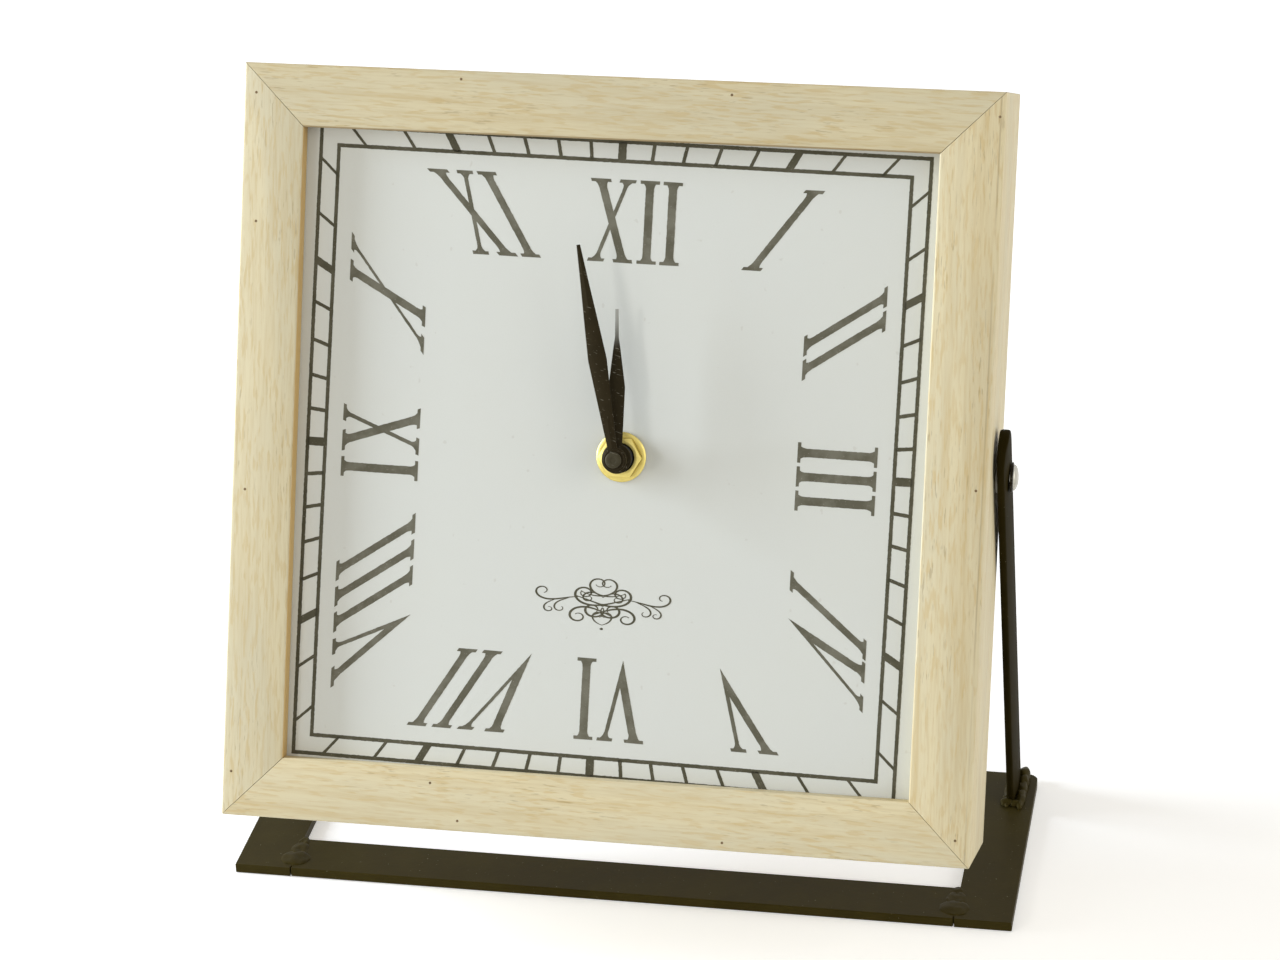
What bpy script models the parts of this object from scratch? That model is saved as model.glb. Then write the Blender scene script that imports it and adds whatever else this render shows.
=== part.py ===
"""Table clock: a mitred wooden case with a printed dial, tilting between two leaning uprights.

The flat steel stand is a U of three bars with two uprights welded to its rear ends. The case hangs
between the uprights on two screws and can be turned to any tilt. A quartz movement is clamped
through the dial, and its gear train carries the two hands.
"""

import math

import bmesh
import bpy

# Clearances and smoothness
GAP = 0.0003
OVERRUN = 0.002
ROUND_STEPS = 40
FINE_STEPS = 20
SHARP_ANGLE = math.radians(40)

# Stand, flat steel bar
BASE_OVERHANG = 0.0052
STAND_DEPTH = 0.0855
BASE_BAR_WIDTH = 0.0172
BASE_BAR_THICKNESS = 0.003
BASE_CORNER_RADIUS = 0.003
UPRIGHT_WIDTH = 0.016
UPRIGHT_THICKNESS = 0.003
UPRIGHT_SLOPE = 0.35
PIVOT_HEIGHT = 0.1362
FOOT_INSET = 0.0011
UPRIGHT_ABOVE_PIVOT = 0.0157
WELD_HEIGHT = 0.0034
WELD_WIDTH = 0.0026
ARRIS = 0.0003

# Pivot screws and washers
SCREW_RADIUS = 0.0016
SCREW_LENGTH = 0.009
SCREW_HEAD_RADIUS = 0.0038
SCREW_HEAD_HEIGHT = 0.0013
PIVOT_WASHER_RADIUS = 0.0044
PIVOT_WASHER_THICKNESS = 0.0005
SPACER_RADIUS = 0.0048
SPACER_THICKNESS = 0.0005

# Case, wooden rails with a rebate behind a lip
CASE_SIDE = 0.220
CASE_DEPTH = 0.045
CASE_LEAN = math.radians(22.1)
PIVOT_DEPTH = 0.0267
RAIL_FACE = 0.018
RAIL_WALL = 0.010
LIP_DEPTH = 0.005

# Dial, whose shaft stands a little right of the middle and above it
SHAFT_RIGHT = 0.004
SHAFT_UP = 0.0014
PAPER_THICKNESS = 0.0004
BOARD_THICKNESS = 0.003

# Clamping of the movement through the dial
BUSH_RADIUS = 0.00385
BUSH_BORE = 0.0028
BUSH_FRONT = 0.0012
BRASS_WASHER_RADIUS = 0.00725
BRASS_WASHER_THICKNESS = 0.0006
NUT_ACROSS_FLATS = 0.011
NUT_THICKNESS = 0.002
RUBBER_WASHER_RADIUS = 0.0075
RUBBER_WASHER_THICKNESS = 0.001

# Movement housing
HOUSING_SIDE = 0.056
HOUSING_WALL = 0.0012
HOUSING_DEPTH = 0.0145
COVER_THICKNESS = 0.0012
BAY_TOP = -0.0112
BAY_WALL = 0.001
BEARING_RADIUS = 0.0008
SHAFT_HOLE_RADIUS = 0.0015

# Battery and its contacts
CELL_RADIUS = 0.0071
CELL_LENGTH = 0.0492
CELL_NUB_RADIUS = 0.0027
CELL_NUB_LENGTH = 0.001
CONTACT_THICKNESS = 0.0004
CONTACT_SIDE = 0.009
SPRING_RADIUS = 0.003
SPRING_LENGTH = 0.0012

# Motor coil, stator and circuit
COIL_RADIUS = 0.003
COIL_CENTRE_Z = 0.023
COIL_END_PLAY = 0.00095
CORE_WIDTH = 0.002
CORE_THICKNESS = 0.001
STATOR_THICKNESS = 0.001
STATOR_LEG = 0.0038
STATOR_FOOT = 0.0042
STATOR_PLAY = 0.00055
ROTOR_HOLE = 0.0034
CIRCUIT_WIDTH = 0.014
CIRCUIT_HEIGHT = 0.018
CIRCUIT_THICKNESS = 0.001

# Gears: module, teeth and face widths
TRAIN_MODULE = 0.0003
MOTION_MODULE = 0.0005
TRAIN_SLACK = 0.00012
MOTION_SLACK = 0.00014
ADDENDUM_SHARE = 0.8
DEDENDUM_SHARE = 1.25
TIP_SHARE = 0.5
PINION_ROOT_SHARE = 1.0
WHEEL_ROOT_SHARE = 1.25
LEAF_TEETH_LIMIT = 12
PINION_TEETH = 8
CANNON_TEETH = 10
MINUTE_WHEEL_TEETH = 30
HOUR_WHEEL_TEETH = 32
CENTRE_WHEEL_TEETH = 64
THIRD_WHEEL_TEETH = 60
FOURTH_WHEEL_TEETH = 60
FIFTH_WHEEL_TEETH = 32
WHEEL_FACE = 0.0008
MOTION_FACE = 0.001
LAYER_STEP = 0.0015
PINION_RUN = 0.0002
PIVOT_RADIUS = 0.0005
STUB_LENGTH = 0.0005

# Directions from one gear's centre to the next, anticlockwise from the right
TOWARDS_MINUTE_WHEEL = math.radians(180)
TOWARDS_KNOB = math.radians(180)
TOWARDS_THIRD = math.radians(35)
TOWARDS_FOURTH = math.radians(100)
TOWARDS_FIFTH = math.radians(190)
TOWARDS_ROTOR = math.radians(200)

# Arbors, hour pipe, rotor and knob
ARBOR_RADIUS = 0.00155
CLUTCH_RADIUS = 0.0012
HOUR_PIPE_RADIUS = 0.0025
HOUR_PIPE_BORE = 0.00185
MAGNET_RADIUS = 0.003
MAGNET_THICKNESS = 0.002
KNOB_RADIUS = 0.005
KNOB_SHAFT_RADIUS = 0.0012
KNOB_THICKNESS = 0.0036
KNOB_FLUTES = 12
KNOB_FLUTE_SHARE = 0.93

# Hands, pressed from sheet, with the time set to two minutes before twelve
HAND_THICKNESS = 0.0004
MINUTE_ANGLE = math.radians(-12)
HANDS_RATIO = 12
HOUR_HAND_FRONT = -0.0025
MINUTE_HAND_FRONT = -0.0062
COLLET_LENGTH = 0.0009
HUB_RING_WALL = 0.0012
MINUTE_HUB_HEIGHT = 0.0008
MINUTE_HAND_LENGTH = 0.063
MINUTE_HUB_RADIUS = 0.0036
MINUTE_STEM_WIDTH = 0.0026
MINUTE_BELLY_WIDTH = 0.0054
MINUTE_BELLY_SHARE = 0.47
MINUTE_NECK_WIDTH = 0.0024
MINUTE_NECK_SHARE = 0.82
HOUR_HAND_LENGTH = 0.0435
HOUR_HUB_RADIUS = 0.0043
HOUR_STEM_WIDTH = 0.0031
HOUR_BELLY_WIDTH = 0.0048
HOUR_BELLY_SHARE = 0.48
HOUR_NECK_WIDTH = 0.0014
HOUR_NECK_SHARE = 0.76
TIP_WIDTH = 0.0009
CAP_RADIUS = 0.0023
CAP_THICKNESS = 0.0009
CAP_ROUNDING = 0.0004

# Depths behind the case's face, following one another from the front
PAPER_FRONT = LIP_DEPTH + GAP
BOARD_FRONT = PAPER_FRONT + PAPER_THICKNESS + GAP
RUBBER_FRONT = BOARD_FRONT + BOARD_THICKNESS + GAP
HOUSING_FRONT = RUBBER_FRONT + RUBBER_WASHER_THICKNESS + GAP
HOUSING_INSIDE = HOUSING_FRONT + HOUSING_WALL
HOUSING_BACK = HOUSING_FRONT + HOUSING_DEPTH
COVER_FRONT = HOUSING_BACK + GAP
COVER_BACK = COVER_FRONT + COVER_THICKNESS
BRASS_WASHER_FRONT = PAPER_FRONT - GAP - BRASS_WASHER_THICKNESS
NUT_FRONT = BRASS_WASHER_FRONT - GAP - NUT_THICKNESS

# Depths of the gear layers
HOUR_LAYER = HOUSING_INSIDE + STUB_LENGTH
MINUTE_WHEEL_LAYER = HOUR_LAYER + MOTION_FACE + 2 * GAP
CENTRE_LAYER = MINUTE_WHEEL_LAYER + MOTION_FACE + WHEEL_FACE
THIRD_LAYER = CENTRE_LAYER + LAYER_STEP
FOURTH_LAYER = THIRD_LAYER + LAYER_STEP
FIFTH_LAYER = FOURTH_LAYER + LAYER_STEP
MAGNET_FRONT = FIFTH_LAYER + LAYER_STEP
STATOR_FRONT = MAGNET_FRONT + (MAGNET_THICKNESS - STATOR_THICKNESS) / 2
PIVOT_FRONT = HOUSING_INSIDE - HOUSING_WALL / 2
PIVOT_BACK = COVER_FRONT + COVER_THICKNESS / 2

# Stand sizes that follow
UPRIGHT_INNER = CASE_SIDE / 2 + GAP + SPACER_THICKNESS + GAP
UPRIGHT_OUTER = UPRIGHT_INNER + UPRIGHT_THICKNESS
STAND_WIDTH = 2 * (UPRIGHT_OUTER + BASE_OVERHANG)
FRONT_EDGE = -BASE_BAR_WIDTH / 2
REAR_EDGE = FRONT_EDGE + STAND_DEPTH
UPRIGHT_LEAN = math.atan(UPRIGHT_SLOPE)
FOOT_HALF = UPRIGHT_WIDTH / 2 / math.cos(UPRIGHT_LEAN)
FOOT_DROP = PIVOT_HEIGHT - BASE_BAR_THICKNESS - GAP
PIVOT_SETBACK = REAR_EDGE - FOOT_INSET - FOOT_HALF - UPRIGHT_SLOPE * FOOT_DROP


def clear_scene():
    """Remove every object that the scene holds."""
    for obj in list(bpy.data.objects):
        bpy.data.objects.remove(obj, do_unlink=True)


def finish(name, colour, roughness, metallic):
    """Return a plain material of one colour."""
    material = bpy.data.materials.new(name)
    material.use_nodes = True
    shader = material.node_tree.nodes["Principled BSDF"]
    shader.inputs["Base Color"].default_value = (*colour, 1.0)
    shader.inputs["Roughness"].default_value = roughness
    shader.inputs["Metallic"].default_value = metallic
    return material


def empty(name, location, parent=None, turn=(0, 0, 0)):
    """Return an empty that pieces hang from."""
    obj = bpy.data.objects.new(name, None)
    bpy.context.collection.objects.link(obj)
    obj.parent = parent
    obj.location = location
    obj.rotation_euler = turn
    return obj


def make_object(name, bm, material, parent=None, location=(0, 0, 0), turn=(0, 0, 0), smooth=False):
    """Turn a bmesh into a named object, and free the bmesh."""
    bmesh.ops.recalc_face_normals(bm, faces=bm.faces)
    mesh = bpy.data.meshes.new(name)
    bm.to_mesh(mesh)
    bm.free()
    if smooth:
        mesh.shade_smooth()
        mesh.set_sharp_from_angle(angle=SHARP_ANGLE)
    mesh.materials.append(material)
    obj = bpy.data.objects.new(name, mesh)
    bpy.context.collection.objects.link(obj)
    obj.parent = parent
    obj.location = location
    obj.rotation_euler = turn
    return obj


def layered(layers):
    """Return a bmesh of flat outlines stacked along Y, as one closed body.

    Each layer is a start, an end and its closed outlines in X and Z. An outline that the next
    layer repeats runs on, and the step between two layers is filled between the others.
    """
    bm = bmesh.new()
    previous = {}
    for index, (start, end, outlines) in enumerate(layers):
        rings = {}
        ends = {}
        for outline in outlines:
            key = id(outline)
            if key in previous:
                ring = previous[key]
            else:
                ring = [bm.verts.new((x, start, z)) for x, z in outline]
            rings[key] = ring
            ends[key] = [bm.verts.new((x, end, z)) for x, z in outline]
        fill(bm, [ring for key, ring in rings.items() if key not in previous]
             + [ring for key, ring in previous.items() if key not in rings])
        for key, ring in rings.items():
            for here in range(len(ring)):
                there = (here + 1) % len(ring)
                bm.faces.new((ring[here], ring[there], ends[key][there], ends[key][here]))
        previous = ends
    fill(bm, list(previous.values()))
    return bm


def fill(bm, rings):
    """Fill the flat region between closed rings of vertices."""
    edges = []
    for ring in rings:
        for here in range(len(ring)):
            there = (here + 1) % len(ring)
            edge = bm.edges.get((ring[here], ring[there]))
            edges.append(edge or bm.edges.new((ring[here], ring[there])))
    bmesh.ops.triangle_fill(bm, use_beauty=True, use_dissolve=False, edges=edges)


def turned(profile, steps=ROUND_STEPS):
    """Return a bmesh of a closed profile of radius and depth, turned round the Y axis."""
    bm = bmesh.new()
    verts = [bm.verts.new((radius, depth, 0)) for radius, depth in profile]
    edges = [bm.edges.new((verts[k], verts[(k + 1) % len(verts)])) for k in range(len(verts))]
    bmesh.ops.spin(bm, geom=verts + edges, axis=(0, 1, 0), cent=(0, 0, 0), steps=steps,
                   angle=2 * math.pi, use_merge=True, use_duplicate=False)
    bmesh.ops.remove_doubles(bm, verts=bm.verts, dist=GAP / ROUND_STEPS)
    flat = [edge for edge in bm.edges if edge.calc_length() < GAP / ROUND_STEPS or not edge.link_faces]
    bmesh.ops.delete(bm, geom=flat, context="EDGES")
    return bm


def circle(radius, steps=ROUND_STEPS, centre=(0, 0)):
    """Return a round outline."""
    angles = [2 * math.pi * k / steps for k in range(steps)]
    return [(centre[0] + radius * math.cos(a), centre[1] + radius * math.sin(a)) for a in angles]


def rectangle(left, bottom, right, top):
    """Return a rectangular outline."""
    return [(left, bottom), (right, bottom), (right, top), (left, top)]


def square(half):
    """Return a square outline round the axis."""
    return rectangle(-half, -half, half, half)


def arc(centre, radius, start, end, steps):
    """Return points along an arc, both ends included."""
    angles = [start + (end - start) * k / steps for k in range(steps + 1)]
    return [(centre[0] + radius * math.cos(a), centre[1] + radius * math.sin(a)) for a in angles]


def gear(teeth, module, slack, phase):
    """Return the outline of a gear that has a tooth's middle at the phase angle."""
    pitch_radius = teeth * module / 2
    tip = pitch_radius + ADDENDUM_SHARE * module
    root = pitch_radius - DEDENDUM_SHARE * module
    half_tooth = math.pi * module / 4 - slack / 2
    leaf = teeth < LEAF_TEETH_LIMIT
    root_share = PINION_ROOT_SHARE if leaf else WHEEL_ROOT_SHARE
    flank = [(root, half_tooth * root_share / root)]
    if leaf:
        flank.append((pitch_radius, half_tooth / pitch_radius))
    flank.append((tip, half_tooth * TIP_SHARE / tip))
    tooth = [(radius, -turn) for radius, turn in flank] + list(reversed(flank))
    outline = []
    for number in range(teeth):
        middle = phase + 2 * math.pi * number / teeth
        outline += [(r * math.cos(middle + a), r * math.sin(middle + a)) for r, a in tooth]
    return outline


def spacing(teeth_one, teeth_two, module):
    """Return the distance between the axes of two gears in mesh."""
    return (teeth_one + teeth_two) * module / 2


def step_from(centre, distance, direction):
    """Return the point at a distance and direction from a centre."""
    return (centre[0] + distance * math.cos(direction), centre[1] + distance * math.sin(direction))


def meshing_phase(phase, teeth, direction, other_teeth):
    """Return the phase at which the other gear has a gap wherever this one has a tooth."""
    place = (direction - phase) * teeth / (2 * math.pi)
    return direction + math.pi - (1 / 2 - place) * 2 * math.pi / other_teeth


# Places of the gear axes in the case, right and up from the centre
CENTRE = (0, 0)
MOTION_SPACING = spacing(CANNON_TEETH, MINUTE_WHEEL_TEETH, MOTION_MODULE)
THIRD_SPACING = spacing(PINION_TEETH, CENTRE_WHEEL_TEETH, TRAIN_MODULE)
FOURTH_SPACING = spacing(PINION_TEETH, THIRD_WHEEL_TEETH, TRAIN_MODULE)
FIFTH_SPACING = spacing(PINION_TEETH, FOURTH_WHEEL_TEETH, TRAIN_MODULE)
ROTOR_SPACING = spacing(PINION_TEETH, FIFTH_WHEEL_TEETH, TRAIN_MODULE)
MINUTE_WHEEL_AXIS = step_from(CENTRE, MOTION_SPACING, TOWARDS_MINUTE_WHEEL)
KNOB_AXIS = step_from(MINUTE_WHEEL_AXIS, MOTION_SPACING, TOWARDS_KNOB)
THIRD_AXIS = step_from(CENTRE, THIRD_SPACING, TOWARDS_THIRD)
FOURTH_AXIS = step_from(THIRD_AXIS, FOURTH_SPACING, TOWARDS_FOURTH)
FIFTH_AXIS = step_from(FOURTH_AXIS, FIFTH_SPACING, TOWARDS_FIFTH)
ROTOR_AXIS = step_from(FIFTH_AXIS, ROTOR_SPACING, TOWARDS_ROTOR)

# The stator reaches from the housing's wall to the rotor's far side, and carries the coil
STATOR_LEFT = -HOUSING_SIDE / 2 + HOUSING_WALL + STATOR_PLAY
STATOR_RIGHT = ROTOR_AXIS[0] + STATOR_FOOT
COIL_CENTRE_X = (STATOR_LEFT + STATOR_RIGHT) / 2
CORE_LENGTH = STATOR_RIGHT - STATOR_LEFT - GAP
COIL_LENGTH = STATOR_RIGHT - STATOR_LEFT - 2 * (STATOR_LEG + COIL_END_PLAY)


def add_arris(obj):
    """Take the sharpness off an object's corners."""
    bevel = obj.modifiers.new("arris", "BEVEL")
    bevel.width = ARRIS
    bevel.segments = 1
    bevel.limit_method = "ANGLE"
    bevel.angle_limit = SHARP_ANGLE


def bore(obj, radius, depth, location, turn, parent):
    """Cut a round hole through an object along a turned Y axis."""
    bm = layered([(-depth, depth, [circle(radius, FINE_STEPS)])])
    cutter = make_object(obj.name + "_cutter", bm, obj.data.materials[0], parent, location, turn)
    cutter.hide_render = True
    cutter.display_type = "WIRE"
    cut = obj.modifiers.new("bore", "BOOLEAN")
    cut.operation = "DIFFERENCE"
    cut.solver = "EXACT"
    cut.object = cutter


def build_base(steel):
    """Make the front bar and the two side bars of the base."""
    side_inner = STAND_WIDTH / 2 - BASE_BAR_WIDTH
    front = rectangle(-side_inner + GAP, FRONT_EDGE, side_inner - GAP, FRONT_EDGE + BASE_BAR_WIDTH)
    lay_flat = (math.radians(-90), 0, 0)
    bm = layered([(-BASE_BAR_THICKNESS, 0, [front])])
    add_arris(make_object("base_front_bar", bm, steel, turn=lay_flat))
    for side, name in ((-1, "left"), (1, "right")):
        rear_centre = (STAND_WIDTH / 2 - BASE_CORNER_RADIUS, REAR_EDGE - BASE_CORNER_RADIUS)
        corner = arc(rear_centre, BASE_CORNER_RADIUS, 0, math.pi / 2, FINE_STEPS // 4)
        outline = [(side_inner, FRONT_EDGE), (STAND_WIDTH / 2, FRONT_EDGE), *corner, (side_inner, REAR_EDGE)]
        outline = [(side * x, y) for x, y in outline]
        bm = layered([(-BASE_BAR_THICKNESS, 0, [outline])])
        add_arris(make_object("base_side_bar_" + name, bm, steel, turn=lay_flat))


def upright_outline():
    """Return the side view of an upright, as Y and Z from its pivot, with a half round top."""
    half = UPRIGHT_WIDTH / 2
    top_height = UPRIGHT_ABOVE_PIVOT - half
    top_centre = (-UPRIGHT_SLOPE * top_height, top_height)
    foot_middle = UPRIGHT_SLOPE * FOOT_DROP
    top = arc(top_centre, half, UPRIGHT_LEAN, UPRIGHT_LEAN + math.pi, FINE_STEPS)
    return [(foot_middle - FOOT_HALF, -FOOT_DROP), (foot_middle + FOOT_HALF, -FOOT_DROP), *top]


def build_uprights(steel):
    """Make the two uprights with their pivot holes, and the weld along the foot of each."""
    outline = upright_outline()
    hole = circle(SCREW_RADIUS + GAP, FINE_STEPS)
    foot_left, foot_right = outline[0][0], outline[1][0]
    foot_top = BASE_BAR_THICKNESS + GAP
    weld_inner = UPRIGHT_OUTER + GAP
    for side, name in ((-1, "left"), (1, "right")):
        seen_from_side = [(-y, z) for y, z in outline]
        inner, outer = sorted((side * UPRIGHT_INNER, side * UPRIGHT_OUTER))
        bm = layered([(inner, outer, [seen_from_side, hole])])
        obj = make_object("upright_" + name, bm, steel, location=(0, PIVOT_SETBACK, PIVOT_HEIGHT),
                          turn=(0, 0, math.radians(-90)))
        add_arris(obj)
        weld = [(side * weld_inner, foot_top), (side * (weld_inner + WELD_WIDTH), foot_top),
                (side * weld_inner, foot_top + WELD_HEIGHT)]
        bm = layered([(PIVOT_SETBACK + foot_left, PIVOT_SETBACK + foot_right, [weld])])
        make_object("foot_weld_" + name, bm, steel)


def build_pivots(face, bright, black, nylon):
    """Make the screws, the washers under their heads and the spacers against the case."""
    washer_inner = UPRIGHT_OUTER + GAP
    head_base = washer_inner + PIVOT_WASHER_THICKNESS + GAP
    hole = SCREW_RADIUS + GAP
    reach = head_base - CASE_SIDE / 2 + SCREW_LENGTH - SCREW_RADIUS
    dome = [(SCREW_HEAD_RADIUS * math.sin(a), -SCREW_HEAD_HEIGHT * math.cos(a))
            for a in [math.pi / 2 * k / (FINE_STEPS // 2) for k in range(FINE_STEPS // 2 + 1)]]
    shank = [(SCREW_RADIUS, 0), (SCREW_RADIUS, reach), (0, reach + SCREW_RADIUS)]
    for side, name in ((-1, "left"), (1, "right")):
        turn = (0, 0, side * math.radians(90))
        make_object("pivot_screw_" + name, turned(dome + shank, FINE_STEPS), bright, face,
                    (side * head_base, PIVOT_DEPTH, 0), turn, smooth=True)
        ring = turned([(hole, 0), (PIVOT_WASHER_RADIUS, 0), (PIVOT_WASHER_RADIUS, PIVOT_WASHER_THICKNESS),
                       (hole, PIVOT_WASHER_THICKNESS)], FINE_STEPS)
        make_object("pivot_washer_" + name, ring, black, face,
                    (side * (washer_inner + PIVOT_WASHER_THICKNESS), PIVOT_DEPTH, 0), turn, smooth=True)
        ring = turned([(hole, 0), (SPACER_RADIUS, 0), (SPACER_RADIUS, SPACER_THICKNESS),
                       (hole, SPACER_THICKNESS)], FINE_STEPS)
        make_object("pivot_spacer_" + name, ring, nylon, face,
                    (side * (CASE_SIDE / 2 + GAP + SPACER_THICKNESS), PIVOT_DEPTH, 0), turn, smooth=True)


def rail_mesh():
    """Return one mitred rail along the top of the case, with its lip and rebate."""
    half = CASE_SIDE / 2
    mitre_inset = GAP / math.sqrt(2)
    profile = [(0, 0), (RAIL_FACE, 0), (RAIL_FACE, LIP_DEPTH), (RAIL_WALL, LIP_DEPTH),
               (RAIL_WALL, CASE_DEPTH), (0, CASE_DEPTH)]
    bm = bmesh.new()
    ends = []
    for side in (-1, 1):
        ends.append([bm.verts.new((side * (half - inward - mitre_inset), depth, half - inward))
                     for inward, depth in profile])
    left, right = ends
    for here in range(len(profile)):
        there = (here + 1) % len(profile)
        bm.faces.new((left[here], left[there], right[there], right[here]))
    bm.faces.new(left)
    bm.faces.new(right)
    return bm


def build_case(face, wood, paper, board_colour):
    """Make the four rails, the dial paper and the board behind it."""
    for quarter, name in enumerate(("top", "right", "bottom", "left")):
        rail = make_object("rail_" + name, rail_mesh(), wood, face, turn=(0, quarter * math.radians(90), 0))
        if name in ("left", "right"):
            side = 1 if name == "right" else -1
            bore(rail, SCREW_RADIUS + GAP, RAIL_WALL + OVERRUN, (side * CASE_SIDE / 2, PIVOT_DEPTH, 0),
                 (0, 0, math.radians(90)), face)
    sheet = square(CASE_SIDE / 2 - RAIL_WALL - GAP)
    hole = circle(BUSH_RADIUS + GAP, centre=(SHAFT_RIGHT, SHAFT_UP))
    bm = layered([(PAPER_FRONT, PAPER_FRONT + PAPER_THICKNESS, [sheet, hole])])
    make_object("dial_paper", bm, paper, face)
    bm = layered([(BOARD_FRONT, BOARD_FRONT + BOARD_THICKNESS, [sheet, hole])])
    make_object("dial_board", bm, board_colour, face)


def build_clamp(face, brass, rubber):
    """Make the brass washer and nut in front of the dial, and the rubber washer behind it."""
    hole = circle(BUSH_RADIUS + GAP)
    bm = layered([(BRASS_WASHER_FRONT, BRASS_WASHER_FRONT + BRASS_WASHER_THICKNESS,
                   [circle(BRASS_WASHER_RADIUS), hole])])
    make_object("brass_washer", bm, brass, face, smooth=True)
    corner = NUT_ACROSS_FLATS / 2 / math.cos(math.pi / 6)
    bm = layered([(NUT_FRONT, NUT_FRONT + NUT_THICKNESS, [circle(corner, 6), hole])])
    make_object("brass_nut", bm, brass, face, smooth=True)
    bm = layered([(RUBBER_FRONT, RUBBER_FRONT + RUBBER_WASHER_THICKNESS,
                   [circle(RUBBER_WASHER_RADIUS), hole])])
    make_object("rubber_washer", bm, rubber, face, smooth=True)


def build_housing(face, plastic):
    """Make the movement's shell with its threaded bush, gear chamber and battery bay, and the cover."""
    half = HOUSING_SIDE / 2
    inner = half - HOUSING_WALL
    train = (THIRD_AXIS, FOURTH_AXIS, FIFTH_AXIS, ROTOR_AXIS)
    bearings = [circle(BEARING_RADIUS, FINE_STEPS, axis) for axis in (*train, MINUTE_WHEEL_AXIS, KNOB_AXIS)]
    outside = square(half)
    bush_bore = circle(BUSH_BORE)
    chamber = rectangle(-inner, BAY_TOP + BAY_WALL, inner, inner)
    bay = rectangle(-inner, -inner, inner, BAY_TOP)
    bm = layered([
        (BUSH_FRONT, HOUSING_FRONT, [circle(BUSH_RADIUS), bush_bore]),
        (HOUSING_FRONT, HOUSING_INSIDE, [outside, bush_bore, *bearings]),
        (HOUSING_INSIDE, HOUSING_BACK, [outside, chamber, bay]),
    ])
    make_object("movement_shell", bm, plastic, face, smooth=True)
    holes = [circle(BEARING_RADIUS, FINE_STEPS, axis) for axis in (*train, CENTRE)]
    holes.append(circle(SHAFT_HOLE_RADIUS, FINE_STEPS, KNOB_AXIS))
    lid = rectangle(-half, BAY_TOP, half, half)
    bm = layered([(COVER_FRONT, COVER_BACK, [lid, *holes])])
    make_object("movement_cover", bm, plastic, face)


def build_battery(face, jacket, spring_metal):
    """Make the cell and its two contacts in the battery bay."""
    inner = HOUSING_SIDE / 2 - HOUSING_WALL
    depth = HOUSING_INSIDE + GAP + CELL_RADIUS
    height = (BAY_TOP - inner) / 2
    along_x = (0, 0, math.radians(-90))
    half = CELL_LENGTH / 2
    cell = turned([(0, -half), (CELL_RADIUS, -half), (CELL_RADIUS, half), (CELL_NUB_RADIUS, half),
                   (CELL_NUB_RADIUS, half + CELL_NUB_LENGTH), (0, half + CELL_NUB_LENGTH)])
    make_object("battery_cell", cell, jacket, face, (0, depth, height), along_x, smooth=True)
    plate = square(CONTACT_SIDE / 2)
    start = half + CELL_NUB_LENGTH + GAP
    bm = layered([(start, start + CONTACT_THICKNESS, [plate])])
    make_object("contact_positive", bm, spring_metal, face, (0, depth, height), along_x)
    start = -half - GAP - SPRING_LENGTH
    bm = layered([(start - CONTACT_THICKNESS, start, [plate]),
                  (start, start + SPRING_LENGTH, [circle(SPRING_RADIUS, FINE_STEPS)])])
    make_object("contact_negative", bm, spring_metal, face, (0, depth, height), along_x)


def build_motor(face, copper, iron, board_green):
    """Make the coil on its core, the stator round the rotor and the circuit board."""
    core = rectangle(-CORE_THICKNESS / 2, -CORE_WIDTH / 2, CORE_THICKNESS / 2, CORE_WIDTH / 2)
    winding = circle(COIL_RADIUS, FINE_STEPS)
    half = COIL_LENGTH / 2
    core_depth = STATOR_FRONT - GAP - CORE_THICKNESS / 2
    bm = layered([(-CORE_LENGTH / 2, -half, [core]),
                  (-half, half, [winding]),
                  (half, CORE_LENGTH / 2, [core])])
    make_object("coil", bm, copper, face, (COIL_CENTRE_X, core_depth, COIL_CENTRE_Z),
                (0, 0, math.radians(-90)))
    top = COIL_CENTRE_Z + CORE_WIDTH
    low = ROTOR_AXIS[1] - STATOR_FOOT
    bridge = ROTOR_AXIS[1] + STATOR_FOOT
    left_leg = STATOR_LEFT + STATOR_LEG
    right_leg = STATOR_RIGHT - STATOR_LEG
    outline = [(STATOR_LEFT, low), (STATOR_RIGHT, low), (STATOR_RIGHT, top), (right_leg, top),
               (right_leg, bridge), (left_leg, bridge), (left_leg, top), (STATOR_LEFT, top)]
    hole = circle(ROTOR_HOLE, FINE_STEPS, ROTOR_AXIS)
    bm = layered([(STATOR_FRONT, STATOR_FRONT + STATOR_THICKNESS, [outline, hole])])
    make_object("stator", bm, iron, face)
    edge = HOUSING_SIDE / 2 - HOUSING_WALL - GAP
    panel = rectangle(edge - CIRCUIT_WIDTH, -CIRCUIT_HEIGHT / 2, edge, CIRCUIT_HEIGHT / 2)
    back = COVER_FRONT - GAP
    bm = layered([(back - CIRCUIT_THICKNESS, back, [panel])])
    make_object("circuit_board", bm, board_green, face)


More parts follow.
